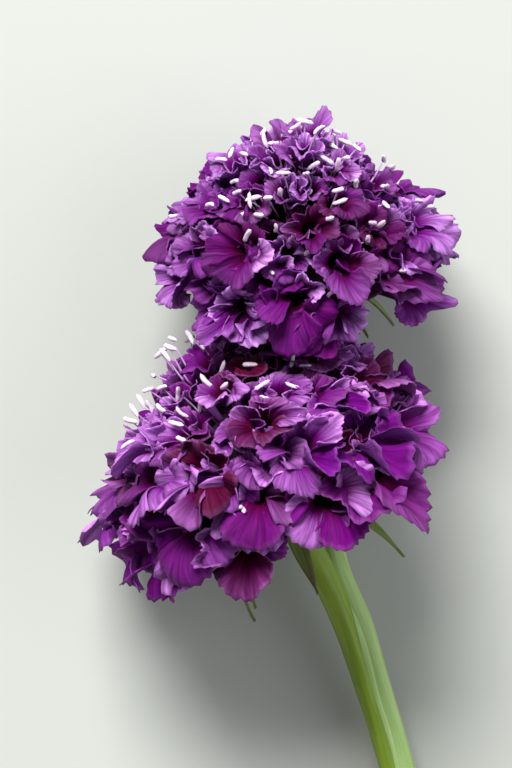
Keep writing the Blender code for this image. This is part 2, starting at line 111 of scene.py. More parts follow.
# Petals bend along the floor, the top of the part's box, and a plane between the heads
BETWEEN_NORMAL = (0.0, 0.86, 0.51)
BETWEEN_POINT = tuple(unit(np.array(BETWEEN_NORMAL)) * 18.4 * MM)
FLOOR_BARRIER = Barrier((0.0, 0.0, 0.0), (0.0, 0.0, 1.0), 0.12 * MM)
TOP_BARRIER = Barrier((0.0, 0.0, 43.2 * MM), (0.0, 0.0, -1.0), 0.0, 1.6 * MM)
UNDER_UPPER = Barrier(BETWEEN_POINT, (0.0, -0.86, -0.51), 0.9 * MM)
OVER_LOWER = Barrier(BETWEEN_POINT, BETWEEN_NORMAL, 0.9 * MM)


@dataclass(frozen=True)
class HeadPlan:
    """A head's measures: where it sits, which way it faces and how its florets stand.

    They are the part's, apart from swell, lobe_at_axis, lobe_at_rim and opened, by which the fine lobes open
    further and are longer, most of all midway from the axis to the rim. A floret leans by lean_share of its
    angle from the axis. Its lobes are as long as lobe_at_axis within the first share of the spiral in swell,
    and as long as lobe_at_rim beyond the second. A bract is a bearing round the axis and a droop in degrees,
    a length and a half width. The other lists give places in the picture in millimetres. In shown, an
    anther has its turn and tip in degrees. In grew, a radius and a factor change the lobes that reach there.
    Petals within a radius turn maroon in maroon_and_shade_near and pale lilac in pale_and_light_near; the first
    holds real maroon petals and painted shade, the second real pale petals and painted light.
    """

    name: str
    base_mm: tuple[float, float, float]
    axis: tuple[float, float, float]
    scale: float
    core_radius: float
    core_height: float
    peak: float
    florets: int
    stamens: int
    phase_deg: float
    seed: int
    lean_share: float
    swell: tuple[float, float]
    lobe_at_axis: float
    lobe_at_rim: float
    opened: float
    maroon_share: float
    fillers: int
    bracts: Rows
    shown: Rows
    grew: Rows
    maroon_and_shade_near: Rows
    pale_and_light_near: Rows

    @property
    def base(self) -> Array:
        """The middle of the head's base, in metres."""
        return np.array(self.base_mm) * MM

    @property
    def up(self) -> Array:
        """The head's axis."""
        return unit(np.array(self.axis))

    @property
    def front(self) -> Array:
        """Square to the axis, towards the side that shows."""
        return unit(np.array([0.0, 0.0, 1.0]) - self.up * self.up[2])

    @property
    def right(self) -> Array:
        """Square to both, to the right as the flower is seen."""
        return np.cross(self.up, self.front)

    def outward(self, bearing: Array) -> Array:
        """Unit vectors away from the axis, at bearings round it from the front in radians."""
        bearing = np.asarray(bearing)[..., None]
        return self.front * np.cos(bearing) + self.right * np.sin(bearing)

    def at(self, radius: Array, bearing: Array, height: Array) -> Array:
        """Places at a distance from the axis, a bearing round it in radians and a height over the base."""
        radius, height = np.asarray(radius)[..., None], np.asarray(height)[..., None]
        return self.base + self.outward(bearing) * radius + self.up * height

    def dome_radius(self, polar: Array) -> Array:
        """The core's width at an angle from the axis: its radius times the sine to the power of the peak."""
        return self.core_radius * np.maximum(np.sin(polar), 0.0) ** self.peak


LOWER = HeadPlan(
    name="lower",
    base_mm=(2.6, -12.8, 18.5),
    axis=(-0.364, 0.804, 0.47),
    scale=1.055,
    core_radius=10.9 * MM,
    core_height=11.4 * MM,
    peak=1.08,
    florets=42,
    stamens=11,
    phase_deg=68.0,
    seed=290,
    lean_share=0.75,
    swell=(0.12, 0.75),
    lobe_at_axis=5.2 * MM,
    lobe_at_rim=10.8 * MM,
    opened=1.32,
    maroon_share=0.08,
    fillers=40,
    bracts=(
        (-4, 50, 12.2 * MM, 1.3 * MM), (-58, 50, 13.5 * MM, 1.1 * MM), (-78, 56, 16.5 * MM, 1.3 * MM),
        (72, 34, 17.2 * MM, 1.9 * MM), (56, 45, 15.9 * MM, 0.9 * MM), (104, 31, 14.5 * MM, 1.5 * MM),
        (-162, 33, 14.0 * MM, 1.5 * MM), (-134, 32, 14.0 * MM, 1.5 * MM), (-104, 34, 13.0 * MM, 1.4 * MM),
    ),
    shown=(
        (4.9, 4.3, 80, 0), (-0.8, 3.3, 2, 35), (-4.5, 2.3, 72, 30), (-6.7, 0.3, -45, 0), (0.8, 0.4, 33, 0),
        (6.5, 3.3, 0, 30), (4.8, 0.3, -20, 0), (-4.3, -0.3, 45, 60), (-10.4, -1.2, 85, 35),
        (-10.0, -3.9, -38, 0), (2.5, 6.5, 80, 55), (-7.3, 5.5, -60, 45), (1.1, -1.7, -15, 40),
        (-7.5, -2.9, 85, 45), (-12.1, 3.9, -50, 20), (-11.2, 6.5, -20, 45), (-8.8, 6.9, -60, 30),
        (-11.5, 4.9, -20, 40), (-15.3, -2.3, -60, 20), (-14.1, -2.9, -62, 20), (-16.3, -3.5, -55, 30),
        (-16.8, -4.9, -15, 35), (-12.8, -3.3, -40, 45), (-10.7, -5.3, -12, 30), (-2.4, -16.5, 20, 60),
        (12.7, -11.5, 60, 60), (12.7, -20.5, -60, 65), (-1.7, -16.7, -50, 70),
    ),
    grew=(
        (-21.0, -6.5, 5.5, 0.34), (-14.5, -0.8, 4.0, 0.45), (-12.1, 4.5, 3.5, 0.75),
        (18.5, 4.6, 5.0, 0.56), (21.9, 1.2, 3.5, 0.5), (26.5, -9.0, 4.0, 0.5), (23.2, -15.5, 3.5, 1.3),
        (21.5, -18.5, 2.5, 0.8), (17.9, -17.6, 3.0, 1.47), (13.5, -22.0, 3.0, 0.75),
        (6.6, -22.3, 2.2, 0.8), (2.9, -25.6, 3.0, 1.4), (-1.8, -27.2, 2.6, 0.33), (-5.9, -27.0, 2.4, 0.98),
        (-9.5, -29.0, 2.5, 0.8), (-16.8, -27.0, 2.5, 0.8), (-18.6, -23.6, 2.5, 1.21),
        (-21.5, -19.0, 3.0, 0.92), (-20.5, -11.7, 2.5, 0.6), (23.3, -4.2, 2.5, 1.3),
    ),
    # Real maroon petals, and places of painted shade where petals lie in the shadow of others
    maroon_and_shade_near=(
        (15.6, 0.2, 2.6), (7.5, 0.8, 2.2), (-5.0, -28.0, 2.2), (-15.5, -12.5, 1.6), (-3.0, 2.0, 3.0),
        (-8.0, -8.0, 1.8), (2.5, -15.5, 2.4), (-2.0, -22.5, 2.2), (15.0, -12.0, 1.8),
    ),
    # Real pale petals, and places of painted light where petals catch the light
    pale_and_light_near=(
        (-15.0, -8.5, 3.4), (-14.0, -4.5, 2.4), (-11.0, -6.0, 2.2), (-9.5, -13.0, 2.4), (5.0, -3.8, 2.6),
        (-2.5, -3.2, 2.4), (1.6, -11.5, 2.0), (-20.0, -15.0, 2.6), (11.0, 2.8, 2.0), (18.5, -2.5, 2.2),
    ),
)
UPPER = HeadPlan(
    name="upper",
    base_mm=(6.0, 15.6, 16.5),
    axis=(-0.02, 0.83, 0.56),
    scale=0.96,
    core_radius=8.5 * MM,
    core_height=11.8 * MM,
    peak=1.45,
    florets=38,
    stamens=11,
    phase_deg=16.0,
    seed=908,
    lean_share=0.80,
    swell=(0.35, 1.0),
    lobe_at_axis=4.8 * MM,
    lobe_at_rim=10.4 * MM,
    opened=1.12,
    maroon_share=0.0,
    fillers=64,
    bracts=(
        (14, 3, 6.5 * MM, 1.4 * MM), (66, 44, 9.0 * MM, 1.1 * MM), (98, 36, 12.0 * MM, 1.4 * MM),
        (136, 36, 12.0 * MM, 1.4 * MM), (176, 34, 12.0 * MM, 1.4 * MM), (-140, 33, 12.0 * MM, 1.4 * MM),
        (-108, 32, 12.0 * MM, 1.4 * MM), (-76, 28, 10.0 * MM, 1.2 * MM), (-26, 3, 6.5 * MM, 1.4 * MM),
    ),
    shown=(
        (-11.1, 22.3, 0, 60), (-6.1, 24.0, 0, 60), (-4.3, 24.7, -30, 35), (-2.8, 27.1, 10, 60),
        (-2.5, 25.6, 20, 60), (-0.9, 24.5, 95, 0), (-2.1, 22.4, 35, 30), (2.0, 28.5, -60, 60),
        (-1.2, 19.9, 60, 45), (2.7, 20.7, 85, 60), (2.1, 14.9, -40, 70), (7.7, 29.2, 30, 35),
        (6.8, 28.1, 0, 70), (10.9, 29.3, 75, 45), (11.9, 30.1, 10, 65), (13.3, 26.8, 80, 65),
        (11.2, 24.3, 20, 20), (9.7, 22.0, 10, 65), (14.9, 19.2, 80, 60), (17.2, 24.0, -50, 60),
        (17.3, 26.3, 0, 65), (18.0, 28.8, 10, 60), (16.7, 21.3, 40, 60), (19.5, 15.1, -10, 50),
        (8.3, 18.7, -20, 60), (8.7, 17.7, 10, 70), (6.9, 17.7, 30, 60), (9.7, 11.9, 60, 65),
        (-1.1, 30.5, -22, 0), (1.1, 32.5, 105, 0), (4.0, 33.3, 25, 35), (6.7, 33.2, 0, 65),
        (10.3, 31.7, -30, 45), (11.9, 32.3, -25, 0), (13.5, 31.5, -40, 45), (1.6, 24.8, 0, 60),
        (0.3, 22.5, -10, 55), (23.2, 23.6, 0, 60), (21.6, 24.5, 0, 60), (3.2, 25.5, 85, 60),
    ),
    grew=(
        (6.6, 35.6, 3.8, 1.7), (10.0, 36.2, 1.6, 0.75), (-3.0, 32.0, 3.6, 1.76), (-7.6, 27.8, 2.0, 0.8),
        (18.0, 29.2, 3.6, 0.52), (24.5, 25.8, 2.0, 0.75), (25.6, 20.8, 3.0, 1.22), (26.6, 16.0, 2.6, 0.85),
        (-15.0, 18.5, 4.0, 0.7), (-13.0, 11.0, 4.0, 0.5), (-13.6, 14.5, 2.5, 1.15), (15.0, 6.0, 2.5, 0.75),
    ),
    maroon_and_shade_near=(
        (-10.5, 22.8, 2.6), (0.0, 20.5, 2.6), (4.5, 21.8, 3.2), (10.0, 21.5, 3.2), (15.5, 19.0, 2.6),
        (14.5, 14.0, 2.2),
    ),
    pale_and_light_near=(
        (-11.0, 14.0, 3.6), (24.5, 20.0, 3.8), (-2.0, 10.0, 2.2), (4.0, 17.2, 1.8), (8.0, 31.0, 3.4),
        (-3.0, 30.0, 3.6), (14.0, 30.5, 3.0), (-8.5, 24.5, 2.4), (5.5, 25.5, 2.0), (23.5, 9.5, 2.6),
    ),
)

LOWER_STALK = (
    (32.6, -108.0, 1.5, 1.5), (25.4, -80.0, 2.0, 1.5), (18.3, -52.0, 4.6, 1.5), (15.4, -42.5, 6.6, 1.55),
    (12.5, -33.7, 9.2, 1.65), (9.2, -26.0, 11.9, 1.8), (6.4, -20.6, 14.4, 1.9), (4.3, -16.6, 16.4, 2.2),
)
UPPER_STALK = (
    (34.4, -107.6, 1.45, 1.45), (27.2, -79.7, 1.95, 1.45), (20.1, -51.6, 4.5, 1.45),
    (17.2, -42.2, 6.3, 1.5), (14.5, -33.2, 8.4, 1.6), (11.1, -25.0, 9.6, 1.65), (9.6, -17.5, 7.8, 1.6),
    (9.2, -10.0, 6.9, 1.55), (8.6, 0.0, 8.0, 1.5), (7.0, 6.6, 10.8, 1.6), (6.1, 12.0, 14.0, 1.9),
)


# Meshes


@dataclass
class Surface:
    """Points, faces and what the materials read from them, gathered before they go into a mesh."""

    points: Array
    faces: Array
    uv: Array
    values: dict[str, Array] = field(default_factory=dict)

    def joined(self, other: "Surface") -> "Surface":
        """This surface and another with the same values, as one."""
        shift = len(self.points)
        return Surface(
            np.concatenate([self.points, other.points]),
            np.concatenate([self.faces, other.faces + shift]),
            np.concatenate([self.uv, other.uv]),
            {name: np.concatenate([self.values[name], other.values[name]]) for name in self.values},
        )

    def made(self, name: str, finish: bpy.types.Material) -> bpy.types.Object:
        """Makes the mesh and its object in the part's frame.

        Args:
            name: The piece's name.
            finish: Its material.

        Returns:
            The object, at the origin and unturned, with its place in its mesh.
        """
        mesh = bpy.data.meshes.new(name)
        points = self.points - ORIGIN
        mesh.vertices.add(len(points))
        mesh.vertices.foreach_set("co", points.astype(np.float32).ravel())
        mesh.loops.add(self.faces.size)
        mesh.loops.foreach_set("vertex_index", self.faces.astype(np.int32).ravel())
        mesh.polygons.add(len(self.faces))
        mesh.polygons.foreach_set("loop_start", np.arange(len(self.faces), dtype=np.int32) * 4)
        mesh.polygons.foreach_set("use_smooth", np.ones(len(self.faces), dtype=bool))
        mesh.update(calc_edges=True)
        layer = mesh.uv_layers.new(name="grain")
        layer.uv.foreach_set("vector", self.uv[self.faces.ravel()].astype(np.float32).ravel())
        for title, numbers in self.values.items():
            attribute = mesh.attributes.new(title, "FLOAT", "POINT")
            attribute.data.foreach_set("value", numbers.astype(np.float32).ravel())
        mesh.materials.append(finish)
        mesh.validate()
        piece = bpy.data.objects.new(name, mesh)
        bpy.context.scene.collection.objects.link(piece)
        return piece


def grid_faces(rows: int, columns: int, closed: bool = False) -> Array:
    """Quads of a grid of points in row order, facing the way that rows cross columns.

    Args:
        rows: Points in the first direction.
        columns: Points in the second.
        closed: True where the last column joins the first.

    Returns:
        Point numbers, four to a face.
    """
    index = np.arange(rows * columns).reshape(rows, columns)
    if closed:
        index = np.concatenate([index, index[:, :1]], axis=1)
    corners = (index[:-1, :-1], index[1:, :-1], index[1:, 1:], index[:-1, 1:])
    return np.stack([corner.ravel() for corner in corners], axis=1)


def shell_faces(rows: int, columns: int) -> Array:
    """Quads of a thin closed shell: an upper grid, a lower grid after it, and the strip round the margin.

    Args:
        rows: Points in the first direction.
        columns: Points in the second.

    Returns:
        Point numbers, four to a face.
    """
    upper = grid_faces(rows, columns)
    index = np.arange(rows * columns).reshape(rows, columns)
    loop = np.concatenate([index[:-1, 0], index[-1, :-1], index[:0:-1, -1], index[0, :0:-1]])
    after = np.roll(loop, -1)
    under = rows * columns
    strip = np.stack([after, loop, loop + under, after + under], axis=1)
    return np.concatenate([upper, upper[:, ::-1] + under, strip])


def repeated(faces: Array, copies: int, step: int) -> Array:
    """One copy's faces for each of many copies, whose points follow each other by a step."""
    return (faces[None] + (np.arange(copies) * step)[:, None, None]).reshape(-1, 4)


def sheet_normals(points: Array) -> Array:
    """Unit normals of grids of points, rows crossed with columns, on the axes before x, y and z."""
    return unit(np.cross(np.gradient(points, axis=-3), np.gradient(points, axis=-2)) + 1e-15)


def spread_over(values: Array, shape: tuple[int, ...]) -> Array:
    """Repeats values over a larger shape, in one row."""
    return np.broadcast_to(values, shape).ravel()


def wrapped_place(sides: int, rings: int, around: float, along: float) -> Array:
    """The grain of a tube or cup: steps round it and along it in millimetres, a row to a point."""
    place = np.meshgrid(np.arange(sides) * around, np.arange(rings) * along)
    return np.stack(place, axis=-1).reshape(-1, 2)


def carried_ring(line: Array, turns: Array, radii: Array) -> Array:
    """A tube: at each point of each line, a ring square to the line.

    The ring starts from a direction that is carried along the line without twisting about it.

    Args:
        line: Positions, as lines by points by x, y and z.
        turns: Angles round the ring in radians.
        radii: Ring radii, as lines by points by angles.

    Returns:
        Positions, as lines by points by angles by x, y and z.
    """
    ways = unit(np.gradient(line, axis=1))
    side = np.empty_like(ways)
    start = np.cross(ways[:, 0], np.array([0.13, 0.21, 0.97]))
    for level in range(line.shape[1]):
        start = unit(start - ways[:, level] * (start * ways[:, level]).sum(axis=-1, keepdims=True))
        side[:, level] = start
    lift = np.cross(ways, side)
    cos, sin = np.cos(turns)[None, None, :, None], np.sin(turns)[None, None, :, None]
    ring = side[:, :, None] * cos + lift[:, :, None] * sin
    return line[:, :, None] + ring * radii[..., None]


def smooth_line(knots: Rows | Array, steps: int) -> Array:
    """Evenly spaced points along a smooth curve through knots given in millimetres.

    Between two knots the curve is the cubic whose slopes there are half the span of the knots on either side.

    Args:
        knots: Numbers in millimetres, of which the first three are x, y and z.
        steps: How many points to return.

    Returns:
        The points in metres, with any further numbers eased along with them.
    """
    given = np.array(knots) * MM
    padded = np.concatenate([2 * given[:1] - given[1:2], given, 2 * given[-1:] - given[-2:-1]])
    part = np.linspace(0, 1, 12, endpoint=False)[None, :, None]
    before, start, end, after = (padded[shift : shift + len(given) - 1, None] for shift in range(4))
    curve = 0.5 * (
        2 * start
        + (end - before) * part
        + (2 * before - 5 * start + 4 * end - after) * part**2
        + (3 * start - before - 3 * end + after) * part**3
    )
    fine = np.concatenate([curve.reshape(-1, given.shape[1]), given[-1:]])
    walked = np.concatenate([[0], np.cumsum(np.linalg.norm(np.diff(fine[:, :3], axis=0), axis=1))])
    stops = np.linspace(0, walked[-1], steps)
    return np.stack([np.interp(stops, walked, fine[:, axis]) for axis in range(given.shape[1])], axis=1)


def turned_profile(
    plan: HeadPlan,
    radius: Array,
    height: Array,
    sides: int,
    grain: float,
    flutes: int = 0,
    rising: bool = False,
) -> Surface:
    """A profile turned about a head's axis, whose radius may swell by a cosine into shallow flutes.

    Args:
        plan: The head.
        radius: The profile's distances from the axis.
        height: Its heights over the head's base.
        sides: Points round the axis.
        grain: Millimetres of grain to a radian.
        flutes: How many flutes there are, or none.
        rising: True where the profile runs upwards.

    Returns:
        The surface.
    """
    turns = np.arange(sides) * 2 * math.pi / sides
    fluted = 1.0 + (0.02 * np.cos(flutes * turns) if flutes else 0.0 * turns)
    points = plan.at(radius[:, None] * fluted, turns[None, :], height[:, None] + 0.0 * fluted)
    faces = grid_faces(len(radius), sides, closed=True)
    place = wrapped_place(sides, len(radius), turns[1] * grain, 1.0)
    return Surface(points.reshape(-1, 3), faces[:, ::-1] if rising else faces, place)


# Finishes


def linear(tint: str) -> tuple[float, float, float, float]:
    """Turns an sRGB hex value into the linear colour that a shader takes.

    Args:
        tint: Six hex digits after a hash.

    Returns:
        Red, green, blue and an alpha of one.
    """
    shares = [int(tint[start : start + 2], 16) / 255 for start in (1, 3, 5)]
    lit = [share / 12.92 if share <= 0.04045 else ((share + 0.055) / 1.055) ** 2.4 for share in shares]
    return (lit[0], lit[1], lit[2], 1.0)


def add_node(
    tree: bpy.types.NodeTree, kind: str, settings: dict, feeds: dict, read: int | str = 0
) -> bpy.types.NodeSocket:
    """Adds a node, sets it and feeds its inputs.

    Args:
        tree: The material's nodes.
        kind: The node's type, without the word that all shader nodes start with.
        settings: Its own settings by name. The stops of a ramp are places with hex tints.
        feeds: Inputs by name or number, each a socket to link or a value.
        read: The output to return, by name or number.

    Returns:
        That output.
    """
    node = tree.nodes.new("ShaderNode" + kind)
    for name, value in settings.items():
        if name == "stops":
            for number, (place, tint) in enumerate(value):
                stop = node.color_ramp.elements[number] if number < 2 else node.color_ramp.elements.new(place)
                stop.position, stop.color = place, linear(tint)
        else:
            setattr(node, name, value)
    feed(tree, node, feeds)
    return node.outputs[read]


def feed(tree: bpy.types.NodeTree, node: bpy.types.Node, feeds: dict) -> None:
    """Sets or links a node's inputs.

    Args:
        tree: The material's nodes.
        node: The node.
        feeds: Inputs by name or number, each a socket to link or a value.
    """
    for name, value in feeds.items():
        if isinstance(value, bpy.types.NodeSocket):
            tree.links.new(value, node.inputs[name])
        else:
            node.inputs[name].default_value = value


def new_finish(name: str) -> tuple[bpy.types.Material, bpy.types.NodeTree, bpy.types.Node]:
    """Starts a material.

    Args:
        name: The material's name.

    Returns:
        The material, its nodes and its surface shader.
    """
    finish = bpy.data.materials.new(name)
    finish.use_nodes = True
    tree = finish.node_tree
    return finish, tree, tree.nodes["Principled BSDF"]


@dataclass(frozen=True)
class PetalFinish:
    """Living petal skin, grown: soft and matt, a little see-through, with fine raised veins.

    Its cells give a faint velvet sheen at a glancing angle. The colour runs from a maroon-black throat
    through plum or purple to a lilac margin, and the reverse is a dull lilac. Veins stand about 0.5 mm apart.
    """

    name: str = "petal_skin_grown"
    throat: str = "#26000C"
    maroon: str = "#52002A"
    middle: str = "#740884"
    margin: str = "#CC88DC"
    reverse: str = "#A868C0"
    veins_over_lobe: float = 16.0
    edge_line: float = 0.12

    def made(self) -> bpy.types.Material:
        """Builds the material.

        Returns:
            The finished material, which reads the petal's grain map and its tone, lilac and reverse values.
        """
        finish, tree, shader = new_finish(self.name)
        add = partial(add_node, tree)
        smooth, tinted = {"interpolation_type": "SMOOTHSTEP"}, {"data_type": "RGBA"}
        grain = add("UVMap", {"uv_map": "grain"}, {})
        reach = add("SeparateXYZ", {}, {"Vector": grain}, "Y")
        values = ("tone", "lilac", "reverse")
        tone, lilac, reverse = (add("Attribute", {"attribute_name": name}, {}, "Fac") for name in values)
        # Long streaks from throat to margin are the veins
        long = add("Mapping", {}, {"Vector": grain, "Scale": (self.veins_over_lobe, 1.6, 1.0)})
        fibre = {"Vector": long, "Scale": 1.0, "Detail": 3.0, "Roughness": 0.55, "Distortion": 0.3}
        veins = add("TexNoise", {"noise_dimensions": "2D"}, fibre)
        streak = add("MapRange", {}, {"Value": veins, "From Min": 0.34, "From Max": 0.66})
        body = add("Mix", tinted, {0: tone, 6: linear(self.maroon), 7: linear(self.middle)}, 2)
        # The margin pales towards lilac, first along the veins, and ends in a thin pale line
        rim = add("MapRange", smooth, {"Value": reach, "From Min": 0.40, "From Max": 1.04})
        rim_here = add("Math", {"operation": "MULTIPLY"}, {0: rim, 1: lilac})
        rim_veined = add("MapRange", {}, {"Value": streak, "To Min": 0.55})
        rim_share = add("Math", {"operation": "MULTIPLY", "use_clamp": True}, {0: rim_here, 1: rim_veined})
        outer = add("Mix", tinted, {0: rim_share, 6: body, 7: linear(self.margin)}, 2)
        line = add("MapRange", smooth, {"Value": reach, "From Min": 0.90, "To Max": self.edge_line})
        lined = add("Mix", tinted, {0: line, 6: outer, 7: linear(self.margin)}, 2)
        # The reverse is dull lilac, but hardly so on a maroon petal
        dulled = add("MapRange", {}, {"Value": tone, "From Min": 0.2, "To Min": 0.04, "To Max": 0.6})
        turned = add("Math", {"operation": "MULTIPLY"}, {0: reverse, 1: dulled})
        sided = add("Mix", tinted, {0: turned, 6: lined, 7: linear(self.reverse)}, 2)
        # The dark throat reaches further out on a maroon petal and shows less on the reverse
        drawn_out = add("Math", {"operation": "MULTIPLY_ADD"}, {0: tone, 1: 0.28, 2: reach})
        edge = {"Value": drawn_out, "From Min": 0.38, "From Max": 0.88, "To Min": 1.0, "To Max": 0.0}
        deep = add("MapRange", smooth, edge)
        fading = {"operation": "MULTIPLY_ADD", "use_clamp": True}
        shown_deep = add("Math", fading, {0: reverse, 1: -0.45, 2: deep})
        well = add("ValToRGB", {"stops": ((0.04, self.throat), (0.36, self.maroon))}, {"Fac": reach})
        inner = add("Mix", tinted, {0: shown_deep, 6: sided, 7: well}, 2)
        shade = add("MapRange", {}, {"Value": streak, "To Min": 0.60, "To Max": 1.05})
        veined = add("Mix", {**tinted, "blend_type": "MULTIPLY"}, {0: 1.0, 6: inner, 7: shade}, 2)
        look = {
            "Base Color": veined,
            "Normal": add("Bump", {}, {"Height": veins, "Strength": 0.8, "Distance": 0.2 * MM}),
            "Roughness": 0.6,
            "IOR": 1.38,
            "Specular IOR Level": 0.08,
            "Sheen Weight": 0.03,
            "Sheen Roughness": 0.4,
            "Sheen Tint": linear("#E08CF0"),
            "Subsurface Weight": 0.25,
            "Subsurface Radius": (1.0, 0.3, 1.0),
            "Subsurface Scale": 0.4 * MM,
        }
        feed(tree, shader, look)
        return finish


@dataclass(frozen=True)
class PlainFinish:
    """A living skin of one tint, grown, whose colour wanders a little from place to place."""

    name: str
    tint: str
    dark: str
    grain_mm: float
    roughness: float
    along: float = 1.0
    sheen: float = 0.0
    relief: float = 0.25
    ripe: str = ""

    def made(self) -> bpy.types.Material:
        """Builds the material.

        Returns:
            The finished material. It reads the piece's grain map in millimetres, or nothing else.
        """
        finish, tree, shader = new_finish(self.name)
        add = partial(add_node, tree)
        grain = add("UVMap", {"uv_map": "grain"}, {})
        scale = (1.0 / self.grain_mm, self.along / self.grain_mm, 1.0)
        mapped = add("Mapping", {}, {"Vector": grain, "Scale": scale})
        blotches = {"Vector": mapped, "Scale": 1.0, "Detail": 4.0, "Roughness": 0.6}
        noise = add("TexNoise", {"noise_dimensions": "2D"}, blotches)
        patch = add("MapRange", {}, {"Value": noise, "From Min": 0.3, "From Max": 0.7})
        colour = add("Mix", {"data_type": "RGBA"}, {0: patch, 6: linear(self.dark), 7: linear(self.tint)}, 2)
        if self.ripe:
            ripeness = add("Attribute", {"attribute_name": "ripeness"}, {}, "Fac")
            colour = add("Mix", {"data_type": "RGBA"}, {0: ripeness, 6: colour, 7: linear(self.ripe)}, 2)
        look = {
            "Base Color": colour,
            "Normal": add("Bump", {}, {"Height": noise, "Strength": self.relief, "Distance": 0.1 * MM}),
            "Roughness": self.roughness,
            "IOR": 1.42,
            "Sheen Weight": self.sheen,
        }
        feed(tree, shader, look)
        return finish


# The heads


@dataclass
class Florets:
    """Every floret of a head as arrays: a row for each floret, and five lobes to a row."""

    root: Array
    along: Array
    out: Array
    side: Array
    tube: Array
    length: Array
    spread: Array
    tilt: Array
    share: Array

    def some(self, chosen: Array) -> "Florets":
        """The florets that a mask or a list of numbers picks out."""
        return Florets(*(getattr(self, name)[chosen] for name in self.__dataclass_fields__))


class Crowd(Enum):
    """Which of a head's florets to place."""

    STANDING = "those that the part has"
    FILLING = "smaller ones between them"


@dataclass
class FlowerHead:
    """One head: core, florets, filaments and anthers, over the part's head of the same plan."""

    plan: HeadPlan
    finish: bpy.types.Material
    core_shade_finish: bpy.types.Material
    filament_finish: bpy.types.Material
    anther_finish: bpy.types.Material
    outermost_deg: float = 94.0
    spiral_power: float = 0.55
    tube_at_axis: float = 4.6 * MM
    tube_at_rim: float = 5.4 * MM
    throat: float = 1.2 * MM
    lobe_share: tuple[float, ...] = (1.00, 0.80, 0.58, 0.58, 0.80)
    lobe_spread_deg: tuple[float, ...] = (58.0, 62.0, 44.0, 44.0, 62.0)
    neck_room: float = 3.0 * MM
    filler_polar: float = 0.94
    filler_turn: float = 2.1
    filler_lobe: float = 0.74
    filler_tube: float = 0.82
    crown_share: float = 0.62
    far_stamens: int = 10
    stamen_zone_deg: float = 62.0
    filament: float = 6.2 * MM
    filament_start: float = 1.6 * MM
    room_between: float = 2.2 * MM
    anther_radius: float = 0.33 * MM
    anther_half: float = 1.15 * MM

    @property
    def between(self) -> Barrier:
        """The plane between the heads, on this head's side."""
        return UNDER_UPPER if self.plan is LOWER else OVER_LOWER

    def bent(self, points: Array) -> Array:
        """Bends points clear of the floor, the other head and the top of the part's box."""
        return TOP_BARRIER.bend(self.between.bend(FLOOR_BARRIER.bend(points)))

    def placed(self, crowd: Crowd) -> Florets:
        """Stands florets in a spiral, each turned by the golden angle from the one before.

        The angle from the axis grows as a power of the floret's number, its tube grows with that angle and
        its lobes by a smooth step of it, and seeded draws set each apart. The standing florets take the
        part's draws in the part's order.

        Args:
            crowd: The part's florets, or the smaller ones that fill in between.

        Returns:
            The florets, without those in the way of the upper stalk.
        """
        plan = self.plan
        standing = crowd is Crowd.STANDING
        draw = random.Random(plan.seed if standing else plan.seed + 7)
        count = plan.florets if standing else plan.fillers
        neck = smooth_line(UPPER_STALK, 60)[:, :3]
        rows = []
        for number in range(count):
            share = ((number + 0.4) / count) ** self.spiral_power
            polar = math.radians(max(self.outermost_deg * share + draw.uniform(-3, 3), 1.0))
            bearing = math.radians(plan.phase_deg) + number * GOLDEN_ANGLE + draw.uniform(-0.12, 0.12)
            if not standing:
                polar, bearing = polar * self.filler_polar, bearing + self.filler_turn
            root = plan.at(plan.dome_radius(polar), bearing, plan.core_height * math.cos(polar))
            outward = plan.outward(bearing)
            lean = polar * plan.lean_share + math.radians(draw.uniform(-7, 7))
            along = outward * math.sin(lean) + plan.up * math.cos(lean)
            out = outward * math.cos(lean) - plan.up * math.sin(lean)
            twist = math.radians(draw.uniform(-20, 20))
            side = np.cross(along, out)
            swollen = float(smooth_step(np.array(share), *plan.swell))
            size = (plan.lobe_at_axis + (plan.lobe_at_rim - plan.lobe_at_axis) * swollen) * plan.scale
            tube = (self.tube_at_axis + (self.tube_at_rim - self.tube_at_axis) * share) * plan.scale
            if not standing:
                size, tube = size * self.filler_lobe, tube * self.filler_tube
            tube *= draw.uniform(0.85, 1.15)
            length = [size * part * draw.uniform(0.9, 1.1) for part in self.lobe_share]
            spread = [math.radians(turn + draw.uniform(-14, 14)) for turn in self.lobe_spread_deg]
            tilt = [draw.uniform(-1, 1) for _ in self.lobe_share]
            turned = out * math.cos(twist) + side * math.sin(twist)
            side = side * math.cos(twist) - out * math.sin(twist)
            length = self.grown(np.array(length), root + along * tube, along, turned, side)
            clear = np.linalg.norm(neck - (root + along * tube / 2), axis=1).min()
            if plan is UPPER or clear > self.neck_room:
                rows.append((root, along, turned, side, tube, length, spread, tilt, share))
        return Florets(*(np.array(column) for column in zip(*rows)))

    def grown(self, length: Array, mouth: Array, along: Array, out: Array, side: Array) -> Array:
        """Lengthens or shortens a floret's lobes by where they reach, as the plan says the head grew.

        Args:
            length: The lobes' lengths.
            mouth: The tube's end.
            along: The tube's direction.
            out: The first lobe's direction.
            side: Square to both.

        Returns:
            The lengths, each times the plan's factor for a place, by a bell curve of its distance from it.
        """
        bearing = np.arange(LOBE_COUNT)[:, None] * 2 * math.pi / LOBE_COUNT
        spoke = out * np.cos(bearing) + side * np.sin(bearing)
        reach = mouth + (along * 0.4 + spoke * 0.75) * length[:, None]
        for across, up, size, factor in self.plan.grew:
            away = np.linalg.norm(reach[:, :2] - np.array([across, up]) * MM, axis=1) / (size * MM)
            length = length * (1.0 + (factor - 1.0) * np.exp(-(away**2)))
        return length

    def eased(self, values: Array, turn: Array) -> Array:
        """Reads a value between lobes, easing smoothly from one to the next.

        Args:
            values: Florets by lobes.
            turn: Places round the throat counted in lobes, as florets by lobes by grid.

        Returns:
            Values of the shape of turn.
        """
        before = np.floor(turn).astype(int)
        share = smooth_step(turn - before, 0.0, 1.0)
        row = np.arange(len(values))[:, None, None, None]
        return values[row, before % LOBE_COUNT] * (1 - share) + values[row, (before + 1) % LOBE_COUNT] * share

